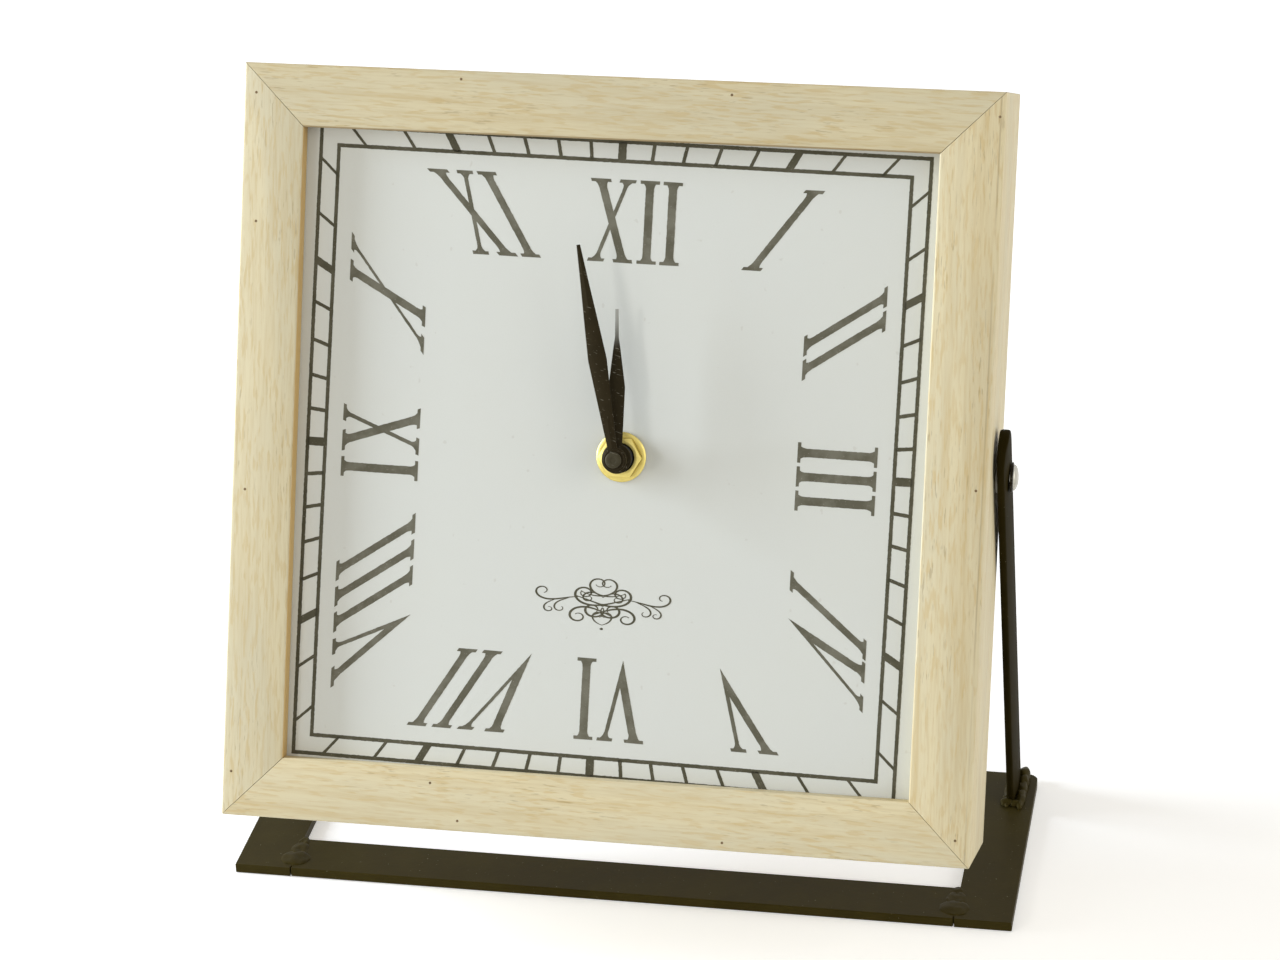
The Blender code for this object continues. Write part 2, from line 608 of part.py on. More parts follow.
def build_going_train(face, brass, nylon, magnet):
    """Make the wheels that run from the motor's rotor down to the centre wheel."""
    pivot = circle(PIVOT_RADIUS, FINE_STEPS // 2)
    centre_phase = 0
    bore_outline = circle(CLUTCH_RADIUS + GAP, FINE_STEPS)
    rim = gear(CENTRE_WHEEL_TEETH, TRAIN_MODULE, TRAIN_SLACK, centre_phase)
    bm = layered([(CENTRE_LAYER, CENTRE_LAYER + WHEEL_FACE, [rim, bore_outline])])
    make_object("centre_wheel", bm, brass, face)
    stages = (
        ("third_wheel", THIRD_AXIS, TOWARDS_THIRD, THIRD_WHEEL_TEETH, CENTRE_WHEEL_TEETH, THIRD_LAYER),
        ("fourth_wheel", FOURTH_AXIS, TOWARDS_FOURTH, FOURTH_WHEEL_TEETH, THIRD_WHEEL_TEETH, FOURTH_LAYER),
        ("fifth_wheel", FIFTH_AXIS, TOWARDS_FIFTH, FIFTH_WHEEL_TEETH, FOURTH_WHEEL_TEETH, FIFTH_LAYER),
    )
    phase = centre_phase
    for name, axis, direction, teeth, driven_teeth, layer in stages:
        pinion_phase = meshing_phase(phase, driven_teeth, direction, PINION_TEETH)
        pinion = gear(PINION_TEETH, TRAIN_MODULE, TRAIN_SLACK, pinion_phase)
        rim = gear(teeth, TRAIN_MODULE, TRAIN_SLACK, 0)
        pinion_front = layer - LAYER_STEP - PINION_RUN
        bm = layered([(PIVOT_FRONT, pinion_front, [pivot]), (pinion_front, layer, [pinion]),
                      (layer, layer + WHEEL_FACE, [rim]), (layer + WHEEL_FACE, PIVOT_BACK, [pivot])])
        make_object(name, bm, brass if teeth > FIFTH_WHEEL_TEETH else nylon, face, (axis[0], 0, axis[1]))
        phase = 0
    pinion_phase = meshing_phase(phase, FIFTH_WHEEL_TEETH, TOWARDS_ROTOR, PINION_TEETH)
    pinion = gear(PINION_TEETH, TRAIN_MODULE, TRAIN_SLACK, pinion_phase)
    pinion_front = MAGNET_FRONT - LAYER_STEP - PINION_RUN
    bm = layered([(PIVOT_FRONT, pinion_front, [pivot]), (pinion_front, MAGNET_FRONT, [pinion]),
                  (MAGNET_FRONT, MAGNET_FRONT + MAGNET_THICKNESS, [circle(MAGNET_RADIUS, FINE_STEPS)]),
                  (MAGNET_FRONT + MAGNET_THICKNESS, PIVOT_BACK, [pivot])])
    make_object("rotor", bm, magnet, face, (ROTOR_AXIS[0], 0, ROTOR_AXIS[1]))


def fluted(radius):
    """Return the grip outline of the setting knob."""
    count = 2 * KNOB_FLUTES
    radii = [radius if k % 2 else radius * KNOB_FLUTE_SHARE for k in range(count)]
    return [(r * math.cos(2 * math.pi * k / count), r * math.sin(2 * math.pi * k / count))
            for k, r in enumerate(radii)]


def build_motion_work(face, brass, nylon):
    """Make the arbor with the cannon pinion, the minute wheel, the hour wheel and the setting knob."""
    pivot = circle(PIVOT_RADIUS, FINE_STEPS // 2)
    cannon_front = MINUTE_WHEEL_LAYER
    cannon_back = cannon_front + MOTION_FACE + PINION_RUN
    cannon = gear(CANNON_TEETH, MOTION_MODULE, MOTION_SLACK, 0)
    arbor_front = MINUTE_HAND_FRONT - MINUTE_HUB_HEIGHT
    clutch_back = CENTRE_LAYER + WHEEL_FACE + PINION_RUN
    bm = layered([(arbor_front, cannon_front, [circle(ARBOR_RADIUS, FINE_STEPS)]),
                  (cannon_front, cannon_back, [cannon]),
                  (cannon_back, clutch_back, [circle(CLUTCH_RADIUS, FINE_STEPS)]),
                  (clutch_back, PIVOT_BACK, [pivot])])
    make_object("minute_arbor", bm, brass, face)

    wheel_phase = meshing_phase(0, CANNON_TEETH, TOWARDS_MINUTE_WHEEL, MINUTE_WHEEL_TEETH)
    wheel = gear(MINUTE_WHEEL_TEETH, MOTION_MODULE, MOTION_SLACK, wheel_phase)
    pinion = gear(PINION_TEETH, MOTION_MODULE, MOTION_SLACK, 0)
    pinion_front = HOUR_LAYER - PINION_RUN
    wheel_back = MINUTE_WHEEL_LAYER + MOTION_FACE
    bm = layered([(PIVOT_FRONT, pinion_front, [pivot]), (pinion_front, MINUTE_WHEEL_LAYER, [pinion]),
                  (MINUTE_WHEEL_LAYER, wheel_back, [wheel]), (wheel_back, wheel_back + STUB_LENGTH, [pivot])])
    make_object("minute_wheel", bm, nylon, face, (MINUTE_WHEEL_AXIS[0], 0, MINUTE_WHEEL_AXIS[1]))

    hour_phase = meshing_phase(0, PINION_TEETH, TOWARDS_MINUTE_WHEEL - math.pi, HOUR_WHEEL_TEETH)
    pipe_bore = circle(HOUR_PIPE_BORE, FINE_STEPS)
    hour_rim = gear(HOUR_WHEEL_TEETH, MOTION_MODULE, MOTION_SLACK, hour_phase)
    pipe_front = HOUR_HAND_FRONT - GAP
    bm = layered([(pipe_front, HOUR_LAYER, [circle(HOUR_PIPE_RADIUS, FINE_STEPS), pipe_bore]),
                  (HOUR_LAYER, HOUR_LAYER + MOTION_FACE, [hour_rim, pipe_bore])])
    make_object("hour_wheel", bm, nylon, face)

    knob_phase = meshing_phase(wheel_phase, MINUTE_WHEEL_TEETH, TOWARDS_KNOB, CANNON_TEETH)
    knob_pinion = gear(CANNON_TEETH, MOTION_MODULE, MOTION_SLACK, knob_phase)
    grip = fluted(KNOB_RADIUS)
    grip_front = COVER_BACK + GAP
    bm = layered([(PIVOT_FRONT, MINUTE_WHEEL_LAYER, [pivot]),
                  (MINUTE_WHEEL_LAYER, wheel_back + PINION_RUN, [knob_pinion]),
                  (wheel_back + PINION_RUN, grip_front, [circle(KNOB_SHAFT_RADIUS, FINE_STEPS)]),
                  (grip_front, grip_front + KNOB_THICKNESS, [grip])])
    make_object("setting_knob", bm, nylon, face, (KNOB_AXIS[0], 0, KNOB_AXIS[1]))


def hand_outline(hub_radius, length, stem, belly, belly_share, neck, neck_share):
    """Return a lance shaped hand that points up from a round hub."""
    edge = [(stem / 2, hub_radius), (belly / 2, length * belly_share), (neck / 2, length * neck_share),
            (TIP_WIDTH / 2, length - TIP_WIDTH / 2)]
    meet = math.acos(stem / 2 / hub_radius)
    hub = arc((0, 0), hub_radius, math.pi - meet, 2 * math.pi + meet, ROUND_STEPS - FINE_STEPS // 2)
    right = edge[1:]
    left = [(-x, z) for x, z in reversed(right)]
    return [*hub, *right, (0, length), *left]


def build_hands(face, black):
    """Make the hour hand, the minute hand and the cap on the minute hand's hub."""
    hour_shape = hand_outline(HOUR_HUB_RADIUS, HOUR_HAND_LENGTH, HOUR_STEM_WIDTH, HOUR_BELLY_WIDTH,
                              HOUR_BELLY_SHARE, HOUR_NECK_WIDTH, HOUR_NECK_SHARE)
    bore_outline = circle(HOUR_PIPE_RADIUS + GAP, FINE_STEPS)
    collet = circle(HOUR_PIPE_RADIUS + GAP + HUB_RING_WALL, FINE_STEPS)
    sheet_back = HOUR_HAND_FRONT + HAND_THICKNESS
    bm = layered([(HOUR_HAND_FRONT, sheet_back, [hour_shape, bore_outline]),
                  (sheet_back, sheet_back + COLLET_LENGTH, [collet, bore_outline])])
    make_object("hour_hand", bm, black, face, turn=(0, MINUTE_ANGLE / HANDS_RATIO, 0))

    minute_shape = hand_outline(MINUTE_HUB_RADIUS, MINUTE_HAND_LENGTH, MINUTE_STEM_WIDTH, MINUTE_BELLY_WIDTH,
                                MINUTE_BELLY_SHARE, MINUTE_NECK_WIDTH, MINUTE_NECK_SHARE)
    bore_outline = circle(ARBOR_RADIUS + GAP, FINE_STEPS)
    collet = circle(ARBOR_RADIUS + GAP + HUB_RING_WALL, FINE_STEPS)
    sheet_back = MINUTE_HAND_FRONT + HAND_THICKNESS
    hub_front = MINUTE_HAND_FRONT - MINUTE_HUB_HEIGHT
    bm = layered([(hub_front, MINUTE_HAND_FRONT, [collet, bore_outline]),
                  (MINUTE_HAND_FRONT, sheet_back, [minute_shape, bore_outline]),
                  (sheet_back, sheet_back + COLLET_LENGTH, [collet, bore_outline])])
    make_object("minute_hand", bm, black, face, turn=(0, MINUTE_ANGLE, 0))

    cap_back = hub_front - GAP
    cap_front = cap_back - CAP_THICKNESS
    rounding = [(CAP_RADIUS - CAP_ROUNDING, cap_front), (CAP_RADIUS, cap_front + CAP_ROUNDING)]
    bm = turned([(0, cap_front), *rounding, (CAP_RADIUS, cap_back), (0, cap_back)], FINE_STEPS)
    make_object("minute_cap", bm, black, face, smooth=True)


def main():
    """Build the clock in its own frame, with the origin under the middle of the front bar."""
    clear_scene()
    steel = finish("painted_steel", (0.035, 0.030, 0.018), 0.5, 0.0)
    black = finish("black_metal", (0.02, 0.018, 0.014), 0.4, 0.0)
    bright = finish("bright_steel", (0.7, 0.7, 0.68), 0.25, 1.0)
    wood = finish("pale_wood", (0.72, 0.60, 0.38), 0.6, 0.0)
    paper = finish("dial_print", (0.80, 0.79, 0.75), 0.5, 0.0)
    fibreboard = finish("fibreboard", (0.30, 0.19, 0.10), 0.8, 0.0)
    brass = finish("brass", (0.80, 0.60, 0.22), 0.25, 1.0)
    rubber = finish("rubber", (0.02, 0.02, 0.02), 0.8, 0.0)
    plastic = finish("housing_plastic", (0.03, 0.03, 0.035), 0.45, 0.0)
    nylon = finish("gear_plastic", (0.80, 0.80, 0.76), 0.45, 0.0)
    jacket = finish("cell_jacket", (0.25, 0.25, 0.27), 0.35, 0.0)
    tinned = finish("tinned_steel", (0.60, 0.60, 0.60), 0.3, 1.0)
    copper = finish("copper_wire", (0.60, 0.25, 0.10), 0.35, 1.0)
    green = finish("circuit", (0.03, 0.18, 0.06), 0.4, 0.0)

    build_base(steel)
    build_uprights(steel)
    tilt_axis = empty("tilt_axis", (0, PIVOT_SETBACK, PIVOT_HEIGHT), turn=(-CASE_LEAN, 0, 0))
    face = empty("case_face", (0, -PIVOT_DEPTH, 0), tilt_axis)
    build_pivots(face, bright, black, nylon)
    build_case(face, wood, paper, fibreboard)
    shaft = empty("shaft", (SHAFT_RIGHT, 0, SHAFT_UP), face)
    build_clamp(shaft, brass, rubber)
    build_housing(shaft, plastic)
    build_battery(shaft, jacket, tinned)
    build_motor(shaft, copper, tinned, green)
    build_going_train(shaft, brass, nylon, tinned)
    build_motion_work(shaft, brass, nylon)
    build_hands(shaft, black)


main()
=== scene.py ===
"""Looks of a wooden table clock on its flat steel stand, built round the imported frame.

The rails and their brads, the dial's print, the two pressed hands, the fittings on their shaft, the
uprights and the welds are made here. Every solid of the frame that stays visible is given a finish.
"""

from __future__ import annotations

import logging
import math
from dataclasses import dataclass, field
from enum import Enum

import bmesh
import bpy
from mathutils import Matrix, Vector, noise

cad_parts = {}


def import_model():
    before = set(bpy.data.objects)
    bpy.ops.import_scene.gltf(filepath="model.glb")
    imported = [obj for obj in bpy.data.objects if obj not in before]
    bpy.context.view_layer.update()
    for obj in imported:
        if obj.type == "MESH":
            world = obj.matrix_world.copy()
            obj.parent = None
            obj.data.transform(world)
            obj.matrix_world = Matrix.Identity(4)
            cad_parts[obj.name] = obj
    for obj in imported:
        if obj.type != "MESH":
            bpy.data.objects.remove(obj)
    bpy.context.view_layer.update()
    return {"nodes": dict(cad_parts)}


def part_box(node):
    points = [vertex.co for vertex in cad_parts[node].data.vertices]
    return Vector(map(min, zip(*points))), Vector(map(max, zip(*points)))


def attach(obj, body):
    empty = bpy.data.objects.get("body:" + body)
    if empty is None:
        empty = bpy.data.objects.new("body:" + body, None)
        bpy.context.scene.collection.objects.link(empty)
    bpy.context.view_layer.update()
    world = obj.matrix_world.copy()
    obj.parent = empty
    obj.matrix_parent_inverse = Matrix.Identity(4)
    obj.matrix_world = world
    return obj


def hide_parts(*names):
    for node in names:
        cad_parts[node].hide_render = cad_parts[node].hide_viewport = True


log = logging.getLogger("table_clock")

Point = tuple[float, float]
Triple = tuple[float, float, float]
Colour = Triple

# Places taken from the frame's own record of the case
PIVOT = (0.0, 0.020809, 0.1362)
CASE_LEAN = math.radians(22.1)
CASE_TURN = (CASE_LEAN, 0.0, 0.0)
PIVOT_DEPTH = 0.0267
MILLIMETRE = 0.001

# Distance within which points of a made mesh are one, and that for a copied solid
SAME_POINT = 1e-7
SAME_CORNER = 1e-6

# Depths behind the case's face that the frame's solids keep
PAPER_DEPTH = 0.0053
HOUR_HAND_DEPTH = -0.0025
MINUTE_HAND_DEPTH = -0.0062

# The shaft of the hands, right of the dial's middle and above it
SHAFT_RIGHT = 0.004
SHAFT_UP = 0.0014


def case_place(depth: float = 0.0) -> Matrix:
    """Return the matrix from the leaning case's own axes to the frame's axes.

    Args:
        depth: How far behind the case's face the origin lies.

    Returns:
        The matrix that takes X right, Y back and Z up along the case into the frame.
    """
    lean = Matrix.Rotation(-CASE_LEAN, 4, "X")
    offset = Matrix.Translation((0.0, depth - PIVOT_DEPTH, 0.0))
    return Matrix.Translation(PIVOT) @ lean @ offset


def shaft_place(depth: float = 0.0, turn: float = 0.0) -> Matrix:
    """Return the matrix from the axes of the hands' shaft to the frame's axes.

    Args:
        depth: How far behind the case's face the origin lies.
        turn: Clockwise turn about the shaft, seen from the front.

    Returns:
        The matrix that takes X right, Y back and Z up along the case into the frame.
    """
    shaft = Matrix.Translation((SHAFT_RIGHT, 0.0, SHAFT_UP))
    return case_place(depth) @ shaft @ Matrix.Rotation(turn, 4, "Y")


class Socket:
    """A shader output that plain arithmetic can be written on."""

    def __init__(self, graph: Graph, output: bpy.types.NodeSocket) -> None:
        """Wrap an output of a node in a graph."""
        self.graph = graph
        self.output = output

    def __add__(self, other: Socket | float) -> Socket:
        """Return the sum of two values."""
        return self.graph.math("ADD", self, other)

    def __radd__(self, other: float) -> Socket:
        """Return the sum of a number and this value."""
        return self.graph.math("ADD", other, self)

    def __sub__(self, other: Socket | float) -> Socket:
        """Return this value less another."""
        return self.graph.math("SUBTRACT", self, other)

    def __rsub__(self, other: float) -> Socket:
        """Return a number less this value."""
        return self.graph.math("SUBTRACT", other, self)

    def __mul__(self, other: Socket | float) -> Socket:
        """Return the product of two values."""
        return self.graph.math("MULTIPLY", self, other)

    def __rmul__(self, other: float) -> Socket:
        """Return the product of a number and this value."""
        return self.graph.math("MULTIPLY", other, self)

    def above(self, level: float, softness: float) -> Socket:
        """Return a soft step from 0 to 1 where this value passes a level.

        Args:
            level: Value at the middle of the step.
            softness: Half the width of the step.

        Returns:
            The step as a value from 0 to 1.
        """
        values = {"Value": self, "From Min": level - softness, "From Max": level + softness}
        return self.graph.node("ShaderNodeMapRange", {"interpolation_type": "SMOOTHSTEP"}, values)


class Graph:
    """The nodes of one material."""

    def __init__(self, name: str) -> None:
        """Start a material that holds a Principled shader and its output."""
        self.material = bpy.data.materials.new(name)
        self.material.use_nodes = True
        self.tree = self.material.node_tree
        self.shader = self.tree.nodes["Principled BSDF"]

    def node(self, kind: str, settings: dict | None = None, values: dict | None = None,
             output: int | str = 0) -> Socket:
        """Add a node, set it up and join its inputs.

        Args:
            kind: The node's type.
            settings: Properties of the node, set before its sockets.
            values: Sockets of the node by name or number, as numbers, colours or links.
            output: The output to return.

        Returns:
            The chosen output.
        """
        made = self.tree.nodes.new(kind)
        for name, value in (settings or {}).items():
            setattr(made, name, value)
        for name, value in (values or {}).items():
            self.join(made.inputs[name], value)
        return Socket(self, made.outputs[output])

    def join(self, target: bpy.types.NodeSocket, value: Socket | float | tuple) -> None:
        """Link a value to an input, or set it there when it is plain.

        Args:
            target: The input.
            value: A link, a number, a vector or a colour.
        """
        if isinstance(value, Socket):
            self.tree.links.new(value.output, target)
        elif isinstance(value, tuple) and len(value) == 3 and target.type == "RGBA":
            target.default_value = (*value, 1.0)
        else:
            target.default_value = value

    def math(self, operation: str, first: Socket | float, second: Socket | float = 0.0) -> Socket:
        """Return the result of one Math node."""
        return self.node("ShaderNodeMath", {"operation": operation}, {0: first, 1: second})

    def mix(self, share: Socket | float, first: Socket | Colour, second: Socket | Colour) -> Socket:
        """Return a colour between two colours.

        Args:
            share: How much of the second colour there is, from 0 to 1.
            first: Colour at 0.
            second: Colour at 1.

        Returns:
            The mixed colour.
        """
        return self.node("ShaderNodeMix", {"data_type": "RGBA"}, {0: share, 6: first, 7: second}, 2)

    def place(self, turn: Triple = (0.0, 0.0, 0.0), stretch: Triple = (1.0, 1.0, 1.0),
              centre: Triple = (0.0, 0.0, 0.0)) -> Socket:
        """Return the piece's own coordinates, moved, turned and stretched.

        Args:
            turn: Angles of the Mapping node.
            stretch: Scales of the Mapping node, used after the turn.
            centre: Point that comes to the middle.

        Returns:
            The coordinates as a vector.
        """
        coordinates = self.node("ShaderNodeTexCoord", output="Object")
        back = tuple(-distance for distance in centre)
        moved = self.node("ShaderNodeMapping", {}, {"Vector": coordinates, "Location": back})
        turned_back = self.node("ShaderNodeMapping", {}, {"Vector": moved, "Rotation": turn})
        return self.node("ShaderNodeMapping", {}, {"Vector": turned_back, "Scale": stretch})

    def axis(self, place: Socket, name: str) -> Socket:
        """Return one coordinate of a place, X, Y or Z."""
        return self.node("ShaderNodeSeparateXYZ", {}, {"Vector": place}, name)

    def up_the_case(self) -> Socket:
        """Return the height over the pivots, measured along the leaning case."""
        return self.axis(self.place(CASE_TURN, centre=PIVOT), "Z")

    def cloud(self, place: Socket, scale: float, detail: float = 3.0, rough: float = 0.5,
              wander: float = 0.0) -> Socket:
        """Return soft noise from 0 to 1.

        Args:
            place: Coordinates of the noise.
            scale: Number of blobs in a metre.
            detail: Number of finer layers.
            rough: Strength of the finer layers.
            wander: How far the noise distorts itself.

        Returns:
            The noise.
        """
        values = {"Vector": place, "Scale": scale, "Detail": detail, "Roughness": rough, "Distortion": wander}
        return self.node("ShaderNodeTexNoise", {}, values)

    def cells(self, place: Socket, scale: float) -> Socket:
        """Return the distance to the nearest of scattered points."""
        return self.node("ShaderNodeTexVoronoi", {}, {"Vector": place, "Scale": scale})

    def relief(self, height: Socket, depth: float, strength: float = 1.0) -> Socket:
        """Return a normal that follows a height.

        Args:
            height: Height from 0 to 1.
            depth: Real depth in metres between 0 and 1.
            strength: Share of the relief that shows.

        Returns:
            The normal.
        """
        return self.node("ShaderNodeBump", {}, {"Height": height, "Distance": depth, "Strength": strength})

    def dress(self, **inputs: Socket | float | tuple) -> bpy.types.Material:
        """Set the shader's inputs, named with underscores for spaces, and return the material."""
        for name, value in inputs.items():
            self.join(self.shader.inputs[name.replace("_", " ").title().replace("Ior", "IOR")], value)
        return self.material


class Grain(Enum):
    """Direction in which a rail's grain runs."""

    ACROSS = "across"
    UPRIGHT = "upright"


@dataclass(frozen=True)
class PaleWood:
    """Oiled pale wood: broad soft figure, fine streaks, short pores and one thin dark line by an arris; where
    asked, painted shade along the top rail's lower inner edge and on the left rail's inner wall, and a tone
    that paints light or shade over the whole rail.
    """

    grain: Grain
    seed: float
    # Painted light: the whole rail's colour is scaled lighter or darker to even out how the lamps fall across
    # the rails.
    tone: float = 1.0
    # Place along X of a thin dark line beside the rail's arris.
    ring: float | None = None
    arris_line_half: float = 0.00022
    # Painted shade: inwards of this place along X, the rail's inner wall takes a darker, warmer brown.
    reveal: float | None = None
    reveal_blur: float = 0.00012
    reveal_shade_strength: float = 0.8
    # Painted shade: below this height up the case, the rail's face darkens along its lower inner edge.
    lip: float | None = None
    lip_blur: float = 0.00015
    lip_shade_strength: float = 0.75
    pale: Colour = (0.700, 0.612, 0.395)
    cool: Colour = (0.640, 0.575, 0.395)
    warm: Colour = (0.540, 0.420, 0.215)
    honey: Colour = (0.560, 0.410, 0.175)
    pore_and_shade: Colour = (0.270, 0.180, 0.075)
    painted_reveal_shade: Colour = (0.540, 0.330, 0.090)

    def figure(self, graph: Graph, across: float, along: float) -> Socket:
        """Return coordinates that run along the rail's grain.

        Args:
            graph: The material's graph.
            across: Stretch across the grain.
            along: Stretch along the grain.

        Returns:
            The coordinates.
        """
        upright = self.grain is Grain.UPRIGHT
        stretch = (across, across, along) if upright else (along, across, across)
        slant = (CASE_LEAN, 0.02, 0.0) if upright else (CASE_LEAN, -0.025, 0.0)
        return graph.place(slant, stretch, (0.0, self.seed, self.seed))

    def make(self) -> bpy.types.Material:
        """Return the finish for rails whose grain runs one way."""
        graph = Graph(f"pale_wood_{self.grain.value}_{self.seed:g}")
        broad = graph.cloud(self.figure(graph, 1.0, 0.16), 65.0, 2.0, 0.5, 0.6)
        band = graph.cloud(self.figure(graph, 1.0, 0.045), 330.0, 4.0, 0.6, 0.2)
        hair = graph.cloud(self.figure(graph, 1.0, 0.05), 1500.0, 3.0, 0.6)
        patch = graph.cloud(self.figure(graph, 1.0, 0.3), 90.0, 2.0, 0.5)
        flecks = graph.cloud(self.figure(graph, 1.0, 0.13), 1150.0, 2.0, 0.5).above(0.585, 0.07)
        dashes = graph.cloud(self.figure(graph, 1.0, 0.10), 1900.0, 2.0, 0.5).above(0.65, 0.04)
        pores = dashes * patch.above(0.52, 0.12)
        colour = graph.mix(broad.above(0.5, 0.2), self.shade(self.pale), self.shade(self.cool))
        colour = graph.mix(band.above(0.56, 0.13) * 0.36, colour, self.shade(self.warm))
        colour = graph.mix(band.above(0.65, 0.06) * patch * 0.6, colour, self.shade(self.honey))
        colour = graph.mix(hair.above(0.57, 0.15) * 0.36, colour, self.shade(self.warm))
        colour = graph.mix(flecks * (0.16 + patch * 0.5), colour, self.shade(self.honey))
        colour = graph.mix(pores * 0.36, colour, self.pore_and_shade)
        # A thin dark line beside the right rail's outer arris.
        if self.ring is not None:
            colour = graph.mix(self.arris_line(graph, patch), colour, self.pore_and_shade)
        # Painted warm shade on the left rail's inner wall.
        if self.reveal is not None:
            inner = graph.axis(graph.place(), "X").above(self.reveal, self.reveal_blur)
            colour = graph.mix(inner * self.reveal_shade_strength, colour, self.painted_reveal_shade)
        # Painted shade along the top rail's lower inner edge.
        if self.lip is not None:
            under = 1 - graph.up_the_case().above(self.lip, self.lip_blur)
            colour = graph.mix(under * self.lip_shade_strength, colour, self.pore_and_shade)
        height = hair * 0.5 - pores
        normal = graph.relief(height, 0.00004, 0.6)
        rough = 0.5 + hair * 0.14
        return graph.dress(base_color=colour, roughness=rough, normal=normal, coat_weight=0.05,
                           coat_roughness=0.4, specular_ior_level=0.35)

    def shade(self, colour: Colour) -> Colour:
        """Return a colour of the wood, lighter or darker by the rail's tone, which paints light or shade over
        the whole rail.
        """
        return tuple(channel * self.tone for channel in colour)

    def arris_line(self, graph: Graph, patch: Socket) -> Socket:
        """Return how strongly the thin dark line shows beside the rail's arris."""
        right = graph.axis(graph.place(), "X")
        away = graph.math("ABSOLUTE", right - self.ring)
        return (1 - away.above(self.arris_line_half, 0.00016)) * patch.above(0.46, 0.12) * 0.36


@dataclass(frozen=True)
class DialPaper:
    """Matt printed paper, faintly mottled."""

    colour: Colour = (0.70, 0.71, 0.655)
    cool: Colour = (0.685, 0.70, 0.665)
    fleck: Colour = (0.54, 0.52, 0.46)

    def make(self) -> bpy.types.Material:
        """Return the finish of the dial's sheet."""
        graph = Graph("dial_paper")
        place = graph.place(CASE_TURN)
        wash = graph.cloud(place, 22.0, 3.0, 0.55)
        fibre = graph.cloud(place, 2400.0, 3.0, 0.65)
        flecks = graph.cloud(place, 420.0, 1.0, 0.4).above(0.80, 0.03)
        colour = graph.mix(wash, self.colour, self.cool)
        colour = graph.mix(fibre.above(0.6, 0.2) * 0.07, colour, self.fleck)
        colour = graph.mix(flecks * 0.35, colour, self.fleck)
        return graph.dress(base_color=colour, roughness=0.62 + fibre * 0.1,
                           normal=graph.relief(fibre, 0.00002, 0.5))


@dataclass(frozen=True)
class DialInk:
    """Dark warm grey ink, worn and printed thinly in places."""

    name: str = "numeral_ink"
    dark: Colour = (0.112, 0.105, 0.072)
    thin: Colour = (0.180, 0.172, 0.130)
    bare: Colour = (0.42, 0.40, 0.33)

    def make(self) -> bpy.types.Material:
        """Return the finish of a part of the dial's print."""
        graph = Graph(self.name)
        place = graph.place(CASE_TURN)
        wash = graph.cloud(place, 130.0, 3.0, 0.6)
        specks = graph.cloud(place, 2100.0, 2.0, 0.6).above(0.68, 0.03)
        colour = graph.mix(wash.above(0.52, 0.16), self.dark, self.thin)
        colour = graph.mix(specks * 0.45, colour, self.bare)
        return graph.dress(base_color=colour, roughness=0.6 + wash * 0.1, specular_ior_level=0.2)


@dataclass(frozen=True)
class StandPaint:
    """Satin dark olive brown paint over rough steel, with dust specks."""

    name: str = "stand_paint"
    colour: Colour = (0.034, 0.0255, 0.0050)
    light: Colour = (0.044, 0.0340, 0.0080)
    level: float = 0.12
    rough: float = 0.40
    speck: Colour = (0.30, 0.28, 0.21)
    lumps: float = 0.00010

    def make(self) -> bpy.types.Material:
        """Return the finish of the steel stand."""
        graph = Graph(self.name)
        place = graph.place()
        wash = graph.cloud(place, 55.0, 4.0, 0.6)
        orange_peel = graph.cloud(place, 900.0, 3.0, 0.6)
        dust = graph.cloud(place, 1500.0, 1.0, 0.5).above(0.79, 0.015)
        colour = graph.mix(wash.above(0.55, 0.2), self.colour, self.light)
        colour = graph.mix(dust * 0.6, colour, self.speck)
        rough = self.rough + wash * 0.14 + dust * 0.25
        normal = graph.relief(orange_peel * 0.5 + wash * 0.5, self.lumps, 0.7)
        return graph.dress(base_color=colour, roughness=rough, normal=normal, specular_ior_level=self.level,
                           specular_tint=(0.86, 0.68, 0.30, 1.0))


@dataclass(frozen=True)
class HandPaint:
    """Near black lacquer on pressed sheet, with fine scratches and dust, and where asked a pale grey painted
    highlight towards a tip.
    """

    name: str = "hand_paint"
    # Painted highlight: from this height up the case the hand turns pale grey towards its tip.
    tip_highlight_from: float | None = None
    tip_highlight_fade: float = 0.0055
    colour: Colour = (0.010, 0.0075, 0.0030)
    brown: Colour = (0.024, 0.0170, 0.0075)
    scratch: Colour = (0.30, 0.28, 0.22)
    # Colour of the painted highlight towards the tip.
    worn: Colour = (0.34, 0.34, 0.31)

    def make(self) -> bpy.types.Material:
        """Return the finish of the hands and their hubs."""
        graph = Graph(self.name)
        place = graph.place(CASE_TURN)
        wash = graph.cloud(place, 240.0, 3.0, 0.6)
        streak_place = graph.place((CASE_LEAN, 1.3, 0.0), (1.0, 1.0, 0.12))
        scratches = graph.cloud(streak_place, 2600.0, 2.0, 0.5).above(0.69, 0.02)
        dust = graph.cloud(place, 2100.0, 1.0, 0.5).above(0.75, 0.02)
        colour = graph.mix(wash, self.colour, self.brown)
        colour = graph.mix(scratches * 0.45, colour, self.scratch)
        colour = graph.mix(dust * 0.5, colour, self.scratch)
        # Painted highlight towards the hand's tip.
        if self.tip_highlight_from is not None:
            colour = graph.mix(graph.up_the_case().above(self.tip_highlight_from, self.tip_highlight_fade), colour, self.worn)
        return graph.dress(base_color=colour, roughness=0.36 + wash * 0.14, specular_ior_level=0.15,
                           specular_tint=(0.9, 0.78, 0.50, 1.0),
                           normal=graph.relief(wash - scratches * 0.5, 0.00003, 0.6))


